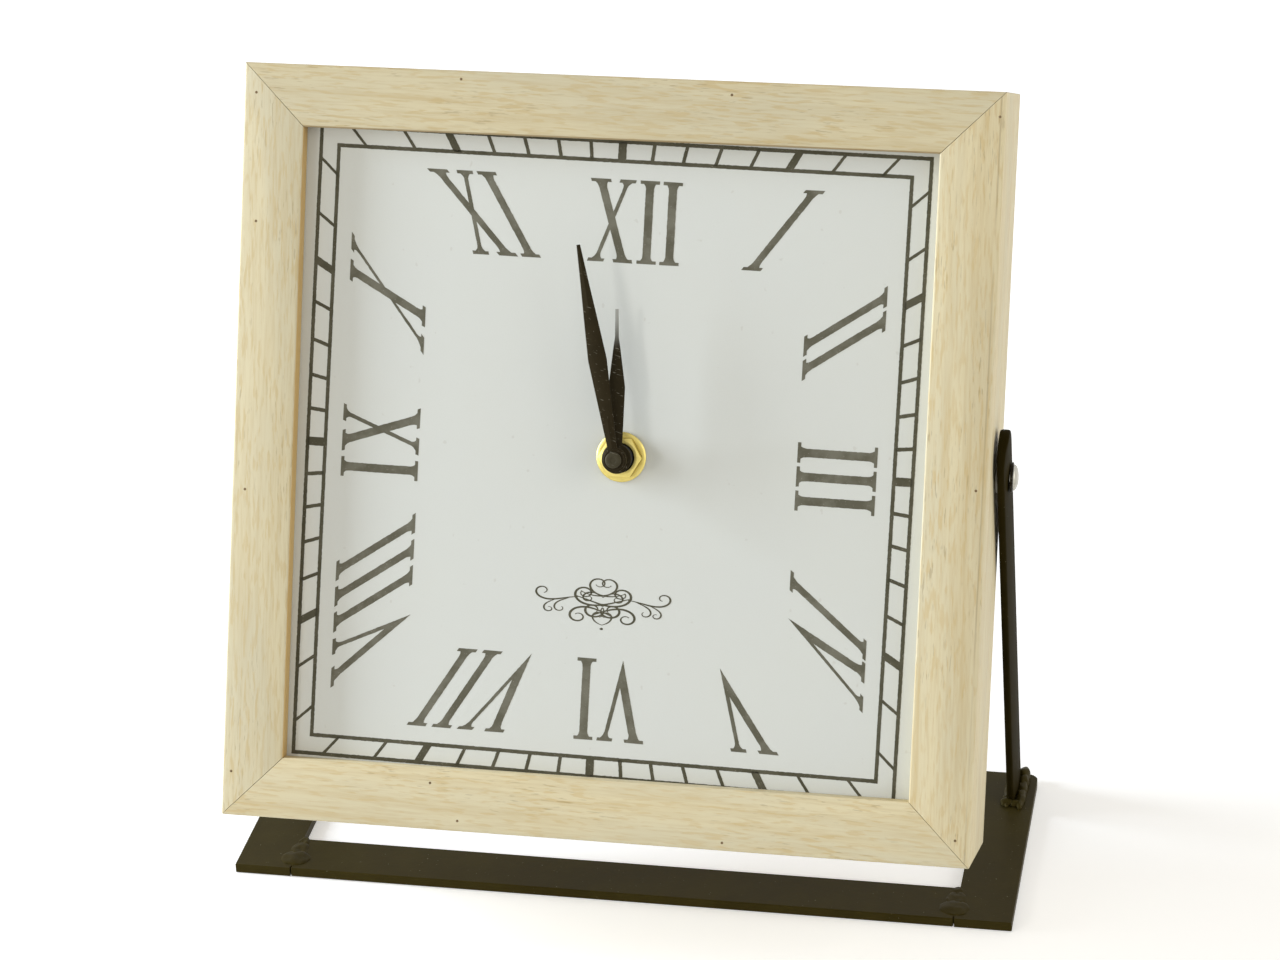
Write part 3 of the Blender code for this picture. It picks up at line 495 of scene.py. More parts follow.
@dataclass(frozen=True)
class PlainMetal:
    """Bare metal with turning marks, faint stains and fine scratches."""

    name: str
    colour: Colour
    stain: Colour
    rough: float = 0.22
    turn: Triple = CASE_TURN

    def make(self) -> bpy.types.Material:
        """Return the metal's finish."""
        graph = Graph(self.name)
        place = graph.place(self.turn)
        wash = graph.cloud(place, 320.0, 3.0, 0.6)
        fine = graph.cloud(graph.place(self.turn, (1.0, 1.0, 0.12)), 5200.0, 2.0, 0.5)
        colour = graph.mix(wash.above(0.56, 0.16) * 0.5, self.colour, self.stain)
        rough = self.rough + wash * 0.1 + fine * 0.06
        return graph.dress(base_color=colour, metallic=1.0, roughness=rough,
                           normal=graph.relief(fine, 0.000012, 0.6))


@dataclass(frozen=True)
class Moulding:
    """Moulded plastic with a spark-eroded skin."""

    name: str
    colour: Colour
    sheen: Colour
    rough: float = 0.46
    skin: float = 0.00002

    def make(self) -> bpy.types.Material:
        """Return the plastic's finish."""
        graph = Graph(self.name)
        place = graph.place(CASE_TURN)
        wash = graph.cloud(place, 90.0, 3.0, 0.6)
        skin = graph.cloud(place, 4200.0, 2.0, 0.6)
        colour = graph.mix(wash, self.colour, self.sheen)
        return graph.dress(base_color=colour, roughness=self.rough + skin * 0.1,
                           normal=graph.relief(skin, self.skin, 0.8))


@dataclass(frozen=True)
class PressedBoard:
    """Brown fibreboard with short matted fibres."""

    dark: Colour = (0.19, 0.115, 0.055)
    light: Colour = (0.40, 0.27, 0.15)

    def make(self) -> bpy.types.Material:
        """Return the finish of the board behind the dial."""
        graph = Graph("pressed_board")
        one_way = graph.cloud(graph.place((CASE_LEAN, 0.5, 0.0), (1.0, 1.0, 0.2)), 1500.0, 3.0, 0.6, 0.8)
        other_way = graph.cloud(graph.place((CASE_LEAN, -0.8, 0.0), (0.2, 1.0, 1.0)), 1300.0, 3.0, 0.6, 0.8)
        matted = one_way * 0.5 + other_way * 0.5
        colour = graph.mix(matted.above(0.5, 0.14), self.dark, self.light)
        return graph.dress(base_color=colour, roughness=0.72 + matted * 0.15,
                           normal=graph.relief(matted, 0.00008, 0.8))


@dataclass(frozen=True)
class CellJacket:
    """Plain shrink jacket on the cell, with bare steel at both ends."""

    half_jacket: float = 0.0238
    jacket: Colour = (0.035, 0.036, 0.040)
    band: Colour = (0.42, 0.30, 0.13)
    steel: Colour = (0.62, 0.62, 0.60)
    band_start: float = 0.0135

    def make(self) -> bpy.types.Material:
        """Return the cell's finish, which changes along its length."""
        graph = Graph("cell_jacket")
        place = graph.place()
        along = graph.axis(place, "X")
        length = graph.math("ABSOLUTE", along)
        bare = length.above(self.half_jacket, 0.0001)
        banded = along.above(self.band_start, 0.0001)
        wash = graph.cloud(place, 160.0, 3.0, 0.6)
        colour = graph.mix(banded, self.jacket, self.band)
        colour = graph.mix(wash * 0.15, colour, self.steel)
        colour = graph.mix(bare, colour, self.steel)
        return graph.dress(base_color=colour, metallic=bare, roughness=0.24 + wash * 0.12)


@dataclass(frozen=True)
class WoundCopper:
    """Enamelled copper wire, wound in rings along X, with painted shade between the windings and a painted
    highlight on their crowns.
    """

    bright: Colour = (0.66, 0.27, 0.12)
    dark: Colour = (0.26, 0.09, 0.04)
    wires_per_metre: float = 4200.0

    def make(self) -> bpy.types.Material:
        """Return the coil's finish."""
        graph = Graph("wound_copper")
        place = graph.place()
        along = graph.axis(place, "X")
        wave = graph.math("SINE", along * (2 * math.pi * self.wires_per_metre)) * 0.5 + 0.5
        wash = graph.cloud(place, 500.0, 3.0, 0.6)
        # Painted shade between the windings and painted highlight on their crowns, following the wire's
        # rings.
        colour = graph.mix(wave * 0.6 + wash * 0.4, self.dark, self.bright)
        return graph.dress(base_color=colour, metallic=0.85, roughness=0.28 + wash * 0.1,
                           normal=graph.relief(wave, 0.00008, 0.8))


@dataclass(frozen=True)
class CircuitBoard:
    """Green solder mask with tinned tracks."""

    green: Colour = (0.02, 0.14, 0.05)
    track: Colour = (0.035, 0.22, 0.09)
    tin: Colour = (0.60, 0.59, 0.55)

    def make(self) -> bpy.types.Material:
        """Return the circuit board's finish."""
        graph = Graph("circuit_mask")
        place = graph.place(CASE_TURN)
        tracks = graph.node("ShaderNodeTexBrick", {"offset": 0.4},
                            {"Vector": graph.place((CASE_LEAN + math.pi / 2, 0.0, 0.0)), "Scale": 60.0,
                             "Mortar Size": 0.035, "Mortar Smooth": 0.1}, "Fac")
        wash = graph.cloud(place, 300.0, 2.0, 0.5)
        pads = graph.cells(place, 420.0).above(0.22, 0.03)
        colour = graph.mix(tracks, self.green, self.track)
        colour = graph.mix((1 - pads) * 0.8, colour, self.tin)
        return graph.dress(base_color=colour, roughness=0.3 + wash * 0.15,
                           normal=graph.relief(tracks, 0.00003, 0.6))


class Body(Enum):
    """Bodies of the frame that pieces ride on."""

    STAND = "stand"
    CASE = "case"
    MINUTE = "minute_hand_group"
    HOUR = "hour_hand_group"


def add_piece(name: str, bm: bmesh.types.BMesh, finish: bpy.types.Material, body: Body,
              stands_for: tuple[str, ...] = (), smooth: bool = True, crease: float = 35.0) -> None:
    """Turn a finished bmesh, already in the frame's axes, into a piece of the clock.

    Args:
        name: Name of the piece.
        bm: The mesh, which is freed.
        finish: Its material.
        body: The body that it rides on.
        stands_for: Names of the CAD nodes that it replaces.
        smooth: Whether soft edges are shaded smooth.
        crease: Angle in degrees from which an edge stays sharp.
    """
    mesh = bpy.data.meshes.new(name)
    bm.to_mesh(mesh)
    bm.free()
    mesh.materials.append(finish)
    if smooth:
        mesh.shade_smooth()
        mesh.set_sharp_from_angle(angle=math.radians(crease))
    obj = bpy.data.objects.new(name, mesh)
    bpy.context.scene.collection.objects.link(obj)
    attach(obj, body.value)
    if stands_for:
        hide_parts(*stands_for)
    log.info("%s: %d faces on %s", name, len(mesh.polygons), body.value)


def turned(profile: list[Point], steps: int = 64) -> bmesh.types.BMesh:
    """Return a closed body of revolution round the depth axis.

    Args:
        profile: Closed outline of radius and depth.
        steps: Number of facets round.

    Returns:
        The bmesh, with its normals outwards.
    """
    bm = bmesh.new()
    verts = [bm.verts.new((radius, depth, 0.0)) for radius, depth in profile]
    edges = [bm.edges.new((verts[k], verts[(k + 1) % len(verts)])) for k in range(len(verts))]
    bmesh.ops.spin(bm, geom=[*verts, *edges], axis=(0, 1, 0), cent=(0, 0, 0), steps=steps,
                   angle=2 * math.pi, use_merge=True, use_duplicate=False)
    bmesh.ops.remove_doubles(bm, verts=bm.verts, dist=SAME_POINT)
    loose = [edge for edge in bm.edges if not edge.link_faces]
    bmesh.ops.delete(bm, geom=loose, context="EDGES")
    bmesh.ops.recalc_face_normals(bm, faces=bm.faces)
    return bm


def join_into(target: bmesh.types.BMesh, other: bmesh.types.BMesh) -> None:
    """Add another bmesh to a bmesh, and free the other one."""
    mesh = bpy.data.meshes.new("joined")
    other.to_mesh(mesh)
    other.free()
    target.from_mesh(mesh)
    bpy.data.meshes.remove(mesh)


def cut_away(bm: bmesh.types.BMesh, point: Vector | Triple, direction: Vector | Triple) -> None:
    """Cut away what lies past a plane and close the mesh there.

    Args:
        bm: The mesh, whose other open ends are closed too.
        point: A point of the plane.
        direction: The plane's normal, towards the part that goes.
    """
    bmesh.ops.bisect_plane(bm, geom=[*bm.verts, *bm.edges, *bm.faces], plane_co=point, plane_no=direction,
                           clear_outer=True)
    bmesh.ops.holes_fill(bm, edges=[edge for edge in bm.edges if edge.is_boundary], sides=0)
    bmesh.ops.recalc_face_normals(bm, faces=bm.faces)


def cross_section(bm: bmesh.types.BMesh, points: list[Vector]) -> list[bmesh.types.BMEdge]:
    """Add an open line of points to a bmesh and return its edges."""
    verts = [bm.verts.new(point) for point in points]
    return [bm.edges.new(pair) for pair in zip(verts, verts[1:])]


def bridged(rows: list[list[Vector]], thickness: float) -> bmesh.types.BMesh:
    """Return a closed sheet that follows rows of points, thickened towards the back.

    Args:
        rows: Lines of points from one side to the other, one after another along the sheet.
        thickness: How far the sheet reaches back along Y.

    Returns:
        The bmesh, with its normals outwards.
    """
    bm = bmesh.new()
    lines = [cross_section(bm, row) for row in rows]
    for first, second in zip(lines, lines[1:]):
        bmesh.ops.bridge_loops(bm, edges=[*first, *second])
    made = bmesh.ops.extrude_face_region(bm, geom=list(bm.faces), use_keep_orig=True)
    moved = [item for item in made["geom"] if isinstance(item, bmesh.types.BMVert)]
    bmesh.ops.translate(bm, verts=moved, vec=(0, thickness, 0))
    bmesh.ops.recalc_face_normals(bm, faces=bm.faces)
    return bm


@dataclass
class WoodenCase:
    """The four mitred rails, their softened arrises and the brads across the mitres."""

    arris: float = 0.0006
    arris_steps: int = 3
    flat_angle: float = math.radians(1)
    corner_angle: float = 1.0
    same_way: float = 0.99
    mitre_stretch: float = 1.0012
    # Place along X of the thin dark line beside the right rail's arris.
    arris_line_place: float = 0.1087
    # Painted shade: place along X where the left rail's darker, warmer inner wall starts.
    reveal_place: float = -0.0922
    # Painted shade: height below which the top rail's face darkens along its lower inner edge.
    lip_place: float = 0.0925
    # Painted light: the tones scale each rail's wood to even out how the lamps fall across the four rails.
    painted_light_tones: dict[str, float] = field(
        default_factory=lambda: {"top": 0.98, "right": 1.15, "bottom": 1.1, "left": 0.96})
    crease: float = 50.0
    brad_radius: float = 0.0004
    brad_flat_share: float = 0.7
    brad_proud: float = 0.00005
    brad_steps: int = 12
    brads: tuple[Point, ...] = field(default=(
        (-0.0461, 0.1075), (0.0324, 0.1061), (-0.1065, 0.1014), (-0.1054, 0.0643), (-0.1061, -0.0138),
        (-0.1075, -0.0970), (-0.0476, -0.0963), (-0.0391, -0.1069), (0.0389, -0.1076), (0.1058, -0.1021),
        (0.1068, -0.0021), (0.1084, 0.1030),
    ))

    def dress_rails(self) -> None:
        """Replace each rail by a copy whose long corners are rounded and whose mitres close up."""
        for number, name in enumerate(("top", "right", "bottom", "left")):
            upright = name in ("left", "right")
            along = Vector((0, math.sin(CASE_LEAN), math.cos(CASE_LEAN))) if upright else Vector((1, 0, 0))
            node = "rail_" + name
            bm = self.softened(node, along)
            reach = (1.0, 1.0, self.mitre_stretch) if upright else (self.mitre_stretch, 1.0, 1.0)
            stretch = case_place() @ Matrix.Diagonal((*reach, 1.0)) @ case_place().inverted()
            bmesh.ops.transform(bm, matrix=stretch, verts=bm.verts)
            grain = Grain.UPRIGHT if upright else Grain.ACROSS
            wood = PaleWood(grain, 0.31 + 0.17 * number, self.painted_light_tones[name],
                            ring=self.arris_line_place if name == "right" else None,
                            reveal=self.reveal_place if name == "left" else None,
                            lip=self.lip_place if name == "top" else None)
            add_piece("dressed_" + node, bm, wood.make(), Body.CASE, (node,), crease=self.crease)

    def softened(self, node: str, along: Vector) -> bmesh.types.BMesh:
        """Return a merged copy of a rail with its long corners rounded.

        Args:
            node: Name of the rail's CAD node.
            along: Direction of the rail.

        Returns:
            The rounded bmesh.
        """
        bm = bmesh.new()
        bm.from_mesh(bpy.data.objects[node].data)
        bmesh.ops.remove_doubles(bm, verts=bm.verts, dist=SAME_CORNER)
        bmesh.ops.dissolve_limit(bm, angle_limit=self.flat_angle, verts=bm.verts, edges=bm.edges)
        corners = []
        for edge in bm.edges:
            line = (edge.verts[1].co - edge.verts[0].co).normalized()
            long = abs(line.dot(along)) > self.same_way
            if long and edge.is_manifold and edge.calc_face_angle() > self.corner_angle:
                corners.append(edge)
        bmesh.ops.bevel(bm, geom=corners, offset=self.arris, offset_type="OFFSET", affect="EDGES",
                        segments=self.arris_steps, profile=0.5, material=-1, clamp_overlap=True)
        bmesh.ops.recalc_face_normals(bm, faces=bm.faces)
        return bm

    def drive_brads(self) -> None:
        """Make the heads of the brads that hold the rails, just proud of the face."""
        steel = PlainMetal("brad_steel", (0.20, 0.14, 0.08), (0.10, 0.065, 0.035), 0.55).make()
        whole = bmesh.new()
        radius = self.brad_radius
        profile = [(0.0, -self.brad_proud), (radius * self.brad_flat_share, -self.brad_proud), (radius, 0.0),
                   (radius, radius), (0.0, radius)]
        for right, up in self.brads:
            head = turned(profile, self.brad_steps)
            bmesh.ops.translate(head, verts=head.verts, vec=(right, 0, up))
            join_into(whole, head)
        bmesh.ops.transform(whole, matrix=case_place(), verts=whole.verts)
        add_piece("brad_heads", whole, steel, Body.CASE)


class Side(Enum):
    """Side of the square dial, with its clockwise quarter turns from the top."""

    TOP = 0
    RIGHT = 1
    BOTTOM = 2
    LEFT = 3


@dataclass(frozen=True)
class Stroke:
    """One stroke of a numeral, from its foot near the dial's middle to its outer head."""

    foot: float
    head: float
    width: float
    foot_serif: float
    head_serif: float
    point: int = 0


@dataclass(frozen=True)
class Numeral:
    """An hour numeral: its letters, its side, its middle along the side, its slant and its spacing."""

    letters: str
    side: Side
    middle: float
    slant: float
    gap: float = 1.1


@dataclass(frozen=True)
class Curl:
    """A curl of the scroll: its start, heading in degrees, length, three bends and greatest width."""

    start: Point
    heading: float
    length: float
    bends: Triple
    width: float
    steps: int = 40


@dataclass
class DialPrint:
    """Everything printed on the dial, in millimetres on a square that the sheet squeezes sideways."""

    squeeze: float = 0.966
    shift: Point = (-0.45, -0.2)
    turn: float = 0.0128
    thickness: float = 0.00002
    lift: float = 0.000005
    inner_line: float = 86.3
    outer_line: float = 91.8
    line_width: float = 1.12
    minute_width: float = 1.1
    hour_width: float = 2.5
    numeral_inner: float = 57.3
    numeral_outer: float = 81.1
    thick: float = 2.45
    thin: float = 1.2
    thick_serif: float = 2.9
    thin_serif: float = 2.35
    serif_thickness: float = 0.95
    bracket: float = 2.6
    bracket_share: float = 0.62
    bracket_curve: float = 2.2
    half_v: float = 7.0
    v_spread: float = 4.55
    half_x: float = 6.95
    x_thick_reach: float = 3.95
    x_thin_reach: float = 4.45
    point_spread: float = 9.6
    rag: float = 0.09
    rag_size: float = 0.6
    rag_seed: int = 1
    rung: float = 0.6
    numerals: tuple[Numeral, ...] = field(default=(
        Numeral("XII", Side.TOP, 4.8, 0.0),
        Numeral("I", Side.TOP, 49.2, 0.75),
        Numeral("II", Side.RIGHT, -41.1, -0.665),
        Numeral("III", Side.RIGHT, 0.45, 0.0),
        Numeral("IV", Side.RIGHT, 47.2, 0.79),
        Numeral("V", Side.BOTTOM, -43.6, -0.49),
        Numeral("VI", Side.BOTTOM, -5.0, 0.0),
        Numeral("VII", Side.BOTTOM, 34.7, 0.63, 1.9),
        Numeral("VIII", Side.LEFT, -45.2, -0.67, 1.8),
        Numeral("IX", Side.LEFT, 1.1, 0.0, 1.6),
        Numeral("X", Side.LEFT, 44.4, 0.86),
        Numeral("XI", Side.TOP, -40.9, -0.64),
    ))
    scroll_middle: Point = (1.3, -42.0)
    scroll_stretch: Point = (1.27, 0.86)
    curls: tuple[Curl, ...] = field(default=(
        Curl((-7.0, 3.2), -15.0, 27.0, (-0.06, 0.10, 0.95), 0.62),
        Curl((-5.4, 4.8), -36.0, 19.5, (0.13, 0.07, 1.05), 0.5),
        Curl((-3.0, -3.6), 30.0, 21.0, (0.02, -0.12, -1.00), 0.62),
        Curl((6.0, 2.7), -4.0, 17.0, (-0.10, 0.04, 1.15), 0.52),
        Curl((7.8, 2.4), -36.0, 9.5, (0.16, -0.30, -1.50), 0.42),
        Curl((0.0, -0.4), -50.0, 13.5, (-0.55, -0.20, -0.95), 0.6),
        Curl((0.0, 3.0), 56.0, 10.5, (-0.24, -0.30, -1.50), 0.46),
        Curl((11.4, 1.3), -34.0, 8.5, (0.10, -0.50, -1.80), 0.4),
        Curl((0.0, -6.3), 20.0, 8.5, (0.20, 0.30, 1.60), 0.46),
    ))
    curl_tip: float = 0.4
    dots: tuple[Triple, ...] = ((0.0, 0.4, 0.5), (0.0, -7.6, 0.4))
    dot_steps: int = 8
    dot_reach: float = 0.98
    sheet: bmesh.types.BMesh = field(default_factory=bmesh.new)
    layer: int = 0

    def __post_init__(self) -> None:
        """Set the noise so that the print's worn edges come out the same in each run."""
        noise.seed_set(self.rag_seed)

    def spot(self, side: Side, along: float, out: float) -> Vector:
        """Return a place on the print's face.

        Args:
            side: Side of the dial whose axes are used.
            along: Millimetres along the side, clockwise.
            out: Millimetres from the middle towards the side.

        Returns:
            The place in the case's own axes, in metres.
        """
        quarter = side.value * math.pi / 2
        right = along * math.cos(quarter) + out * math.sin(quarter)
        up = -along * math.sin(quarter) + out * math.cos(quarter)
        right = right * self.squeeze + self.shift[0]
        up = up + self.shift[1]
        flat = Vector((right, 0.0, up)) * MILLIMETRE
        return Matrix.Rotation(self.turn, 3, "Y") @ flat

    def ragged(self, place: Vector) -> Vector:
        """Return a place moved a little, as a worn print's edge is."""
        shake = noise.noise_vector(place / (self.rag_size * MILLIMETRE)) * self.rag * MILLIMETRE
        return place + Vector((shake.x, 0.0, shake.z))

    def lay(self, rungs: list[tuple[Vector, Vector]]) -> None:
        """Print one strip between pairs of edge places, on its own very thin layer.

        Args:
            rungs: Left and right edge of the strip, one pair after another.
        """
        front = -self.thickness - self.lift * (1 + self.layer % 4)
        rows = []
        for pair in rungs:
            rows.append([self.ragged(place) + Vector((0.0, front, 0.0)) for place in pair])
        join_into(self.sheet, bridged(rows, self.thickness))
        self.layer += 1

    def bar(self, side: Side, start: Point, end: Point, width: float) -> None:
        """Print a straight bar whose ends lie along the side.

        Args:
            side: Side of the dial whose axes are used.
            start: Along and out at one end's middle.
            end: Along and out at the other end's middle.
            width: Width along the side, or out where the bar runs along it.
        """
        flat = abs(end[0] - start[0]) > abs(end[1] - start[1])
        half = (0.0, width / 2) if flat else (width / 2, 0.0)
        steps = max(1, round(math.dist(start, end) / self.rung))
        rungs = []
        for step in range(steps + 1):
            share = step / steps
            along = start[0] + (end[0] - start[0]) * share
            out = start[1] + (end[1] - start[1]) * share
            rungs.append((self.spot(side, along - half[0], out - half[1]),
                          self.spot(side, along + half[0], out + half[1])))
        self.lay(rungs)

    def finish_sheet(self, name: str, ink: bpy.types.Material) -> None:
        """Make what has been laid so far one piece on the case."""
        bmesh.ops.transform(self.sheet, matrix=case_place(PAPER_DEPTH), verts=self.sheet.verts)
        add_piece(name, self.sheet, ink, Body.CASE, smooth=False)
        self.sheet = bmesh.new()
        self.layer = 0

    def print_track(self, ink: bpy.types.Material) -> None:
        """Print the two square lines and the minute ticks that fan out between them."""
        for side in Side:
            for line in (self.inner_line, self.outer_line):
                reach = line + self.line_width / 2
                self.bar(side, (-reach, line), (reach, line), self.line_width)
            for minute in range(-7, 8):
                slope = math.tan(math.radians(6 * minute))
                width = self.minute_width if minute % 5 else self.hour_width
                self.bar(side, (slope * self.inner_line, self.inner_line),
                         (slope * self.outer_line, self.outer_line), width)
        self.finish_sheet("minute_track", ink)

    @property
    def tall(self) -> float:
        """Return the height of the numerals."""
        return self.numeral_outer - self.numeral_inner

    def heights(self) -> list[float]:
        """Return the heights at which a stroke's edges are laid, close together at its serifs."""
        serif = self.serif_thickness
        steps = round(self.tall / self.rung)
        heights = {self.tall * step / steps for step in range(steps + 1)}
        for height in (serif, serif + 0.01, serif * 1.6):
            heights |= {height, self.tall - height}
        return sorted(heights)

    def strokes(self, letter: str) -> tuple[float, list[Stroke]]:
        """Return a letter's half width and its strokes.

        Args:
            letter: I, V or X.

        Returns:
            Half of the letter's width and its strokes, in millimetres.
        """
        broad, narrow = self.thick_serif, self.thin_serif
        if letter == "I":
            return broad, [Stroke(0.0, 0.0, self.thick, broad, broad)]
        if letter == "V":
            return self.half_v, [Stroke(0.0, -self.v_spread, self.thick, 0.0, broad, -1),
                                 Stroke(0.0, self.v_spread, self.thin, 0.0, narrow, 1)]
        thick, thin = self.x_thick_reach, self.x_thin_reach
        return self.half_x, [Stroke(thick, -thick, self.thick, broad, broad + 0.15),
                             Stroke(-thin, thin, self.thin, narrow + 0.1, narrow + 0.1)]

    def half_width(self, stroke: Stroke, height: float) -> float:
        """Return half of a stroke's width at a height, with its bracketed serifs.

        Args:
            stroke: The stroke.
            height: Millimetres from the foot.

        Returns:
            Half of the width in millimetres.
        """
        plain = stroke.width / 2
        half = plain
        for serif, away in ((stroke.foot_serif, height), (stroke.head_serif, self.tall - height)):
            if serif and away <= self.serif_thickness:
                half = max(half, serif)
            elif serif and away < self.bracket:
                fall = (away - self.serif_thickness) / (self.bracket - self.serif_thickness)
                swell = (serif * self.bracket_share - plain) * (1 - fall) ** self.bracket_curve
                half = max(half, plain + swell)
        return half

    def stroke_edges(self, stroke: Stroke, height: float) -> tuple[float, float]:
        """Return the left and right edge of a stroke at a height, from its letter's middle.

        Args:
            stroke: The stroke.
            height: Millimetres from the foot.

        Returns:
            Both edges in millimetres.
        """
        share = height / self.tall
        half = self.half_width(stroke, height)
        plain = stroke.width / 2
        if not stroke.point or half > plain:
            middle = stroke.foot + (stroke.head - stroke.foot) * share
            return middle - half, middle + half
        outer = stroke.point * (abs(stroke.head) + plain) * share
        inner = outer - stroke.point * min(stroke.width, self.point_spread * share)
        return min(outer, inner), max(outer, inner)

    def print_letter(self, numeral: Numeral, place: float, letter: str) -> None:
        """Print one letter of a numeral.

        Args:
            numeral: The numeral that it belongs to.
            place: Middle of the letter along the side, at half its height.
            letter: I, V or X.
        """
        for stroke in self.strokes(letter)[1]:
            rungs = []
            for height in self.heights():
                edges = self.stroke_edges(stroke, height)
                middle = place + numeral.slant * (height - self.tall / 2)
                out = self.numeral_inner + height
                rungs.append(tuple(self.spot(numeral.side, middle + edge, out) for edge in edges))
            self.lay(rungs)

    def print_numerals(self, ink: bpy.types.Material) -> None:
        """Print the twelve hour numerals, their heads towards the track."""
        for numeral in self.numerals:
            halves = [self.strokes(letter)[0] for letter in numeral.letters]
            width = 2 * sum(halves) + numeral.gap * (len(halves) - 1)
            cursor = numeral.middle - width / 2
            for letter, half in zip(numeral.letters, halves):
                self.print_letter(numeral, cursor + half, letter)
                cursor += 2 * half + numeral.gap
        self.finish_sheet("hour_numerals", ink)

    def flourish(self, curl: Curl) -> None:
        """Print a curl and its mirror image, broad in the middle and fine at both ends."""
        first, middle, last = curl.bends
        stride = curl.length / curl.steps
        for mirror in (-1, 1):
            right, up = curl.start
            angle = math.radians(curl.heading)
            rungs = []
            for step in range(curl.steps + 1):
                share = step / curl.steps
                half = curl.width / 2 * (self.curl_tip + (1 - self.curl_tip) * math.sin(math.pi * share))
                across = (-math.sin(angle) * half, math.cos(angle) * half)
                rungs.append((self.scroll_spot(mirror * (right + across[0]), up + across[1]),
                              self.scroll_spot(mirror * (right - across[0]), up - across[1])))
                bend = first * (1 - share) ** 2 + 2 * middle * share * (1 - share) + last * share ** 2
                angle += bend * stride
                right += math.cos(angle) * stride
                up += math.sin(angle) * stride
            self.lay(rungs)

    def scroll_spot(self, right: float, up: float) -> Vector:
        """Return a place of the scroll, right and up of its own middle."""
        broad, tall = self.scroll_stretch
        return self.spot(Side.TOP, self.scroll_middle[0] + right * broad, self.scroll_middle[1] + up * tall)

    def dot(self, right: float, up: float, radius: float) -> None:
        """Print a round dot of the scroll."""
        rungs = []
        for step in range(self.dot_steps + 1):
            height = radius * (2 * step / self.dot_steps - 1) * self.dot_reach
            half = math.sqrt(radius ** 2 - height ** 2)
            rungs.append(tuple(self.scroll_spot(right + edge, up + height) for edge in (-half, half)))
        self.lay(rungs)

    def print_scroll(self, ink: bpy.types.Material) -> None:
        """Print a plain scroll ornament under the middle, the same on both sides."""
        whole_rag = self.rag
        self.rag = whole_rag / 3
        for curl in self.curls:
            self.flourish(curl)
        for right, up, radius in self.dots:
            self.dot(right, up, radius)
        self.rag = whole_rag
        self.finish_sheet("scroll_ornament", ink)


@dataclass
class PressedHand:
    """A lance shaped hand pressed from sheet, with a ridge along its middle and a round hub."""

    name: str
    body: Body
    stands_for: str
    depth: float
    angle: float
    length: float
    widths: tuple[Point, ...]
    hub: list[Point]
    crease: float = 12.0
    ridge: float = 0.00022
    ridge_half: float = 0.0014
    rim_share: float = 0.94
    rim_rise: float = 0.00004
    sheet: float = 0.00035
    rows: int = 44

    def width_at(self, distance: float) -> float:
        """Return the hand's width at a distance from its axis."""
        for (near, wide), (far, narrow) in zip(self.widths, self.widths[1:]):
            if distance <= far:
                share = (distance - near) / (far - near)
                return wide + (narrow - wide) * share
        return self.widths[-1][1]

    def make(self, paint: bpy.types.Material) -> None:
        """Make the blade and the hub as one piece."""
        start = self.widths[0][0]
        rows = []
        for step in range(self.rows + 1):
            distance = start + (self.length - start) * step / self.rows
            half = self.width_at(distance) / 2
            rim = half * self.rim_share
            ridge = self.ridge * min(1.0, half / self.ridge_half)
            section = ((-half, 0.0), (-rim, self.rim_rise), (0.0, ridge), (rim, self.rim_rise), (half, 0.0))
            rows.append([Vector((right, -rise, distance)) for right, rise in section])
        bm = bridged(rows, self.sheet)
        join_into(bm, turned(self.hub))
        bmesh.ops.transform(bm, matrix=shaft_place(self.depth, self.angle), verts=bm.verts)
        add_piece(self.name, bm, paint, self.body, (self.stands_for,), crease=self.crease)


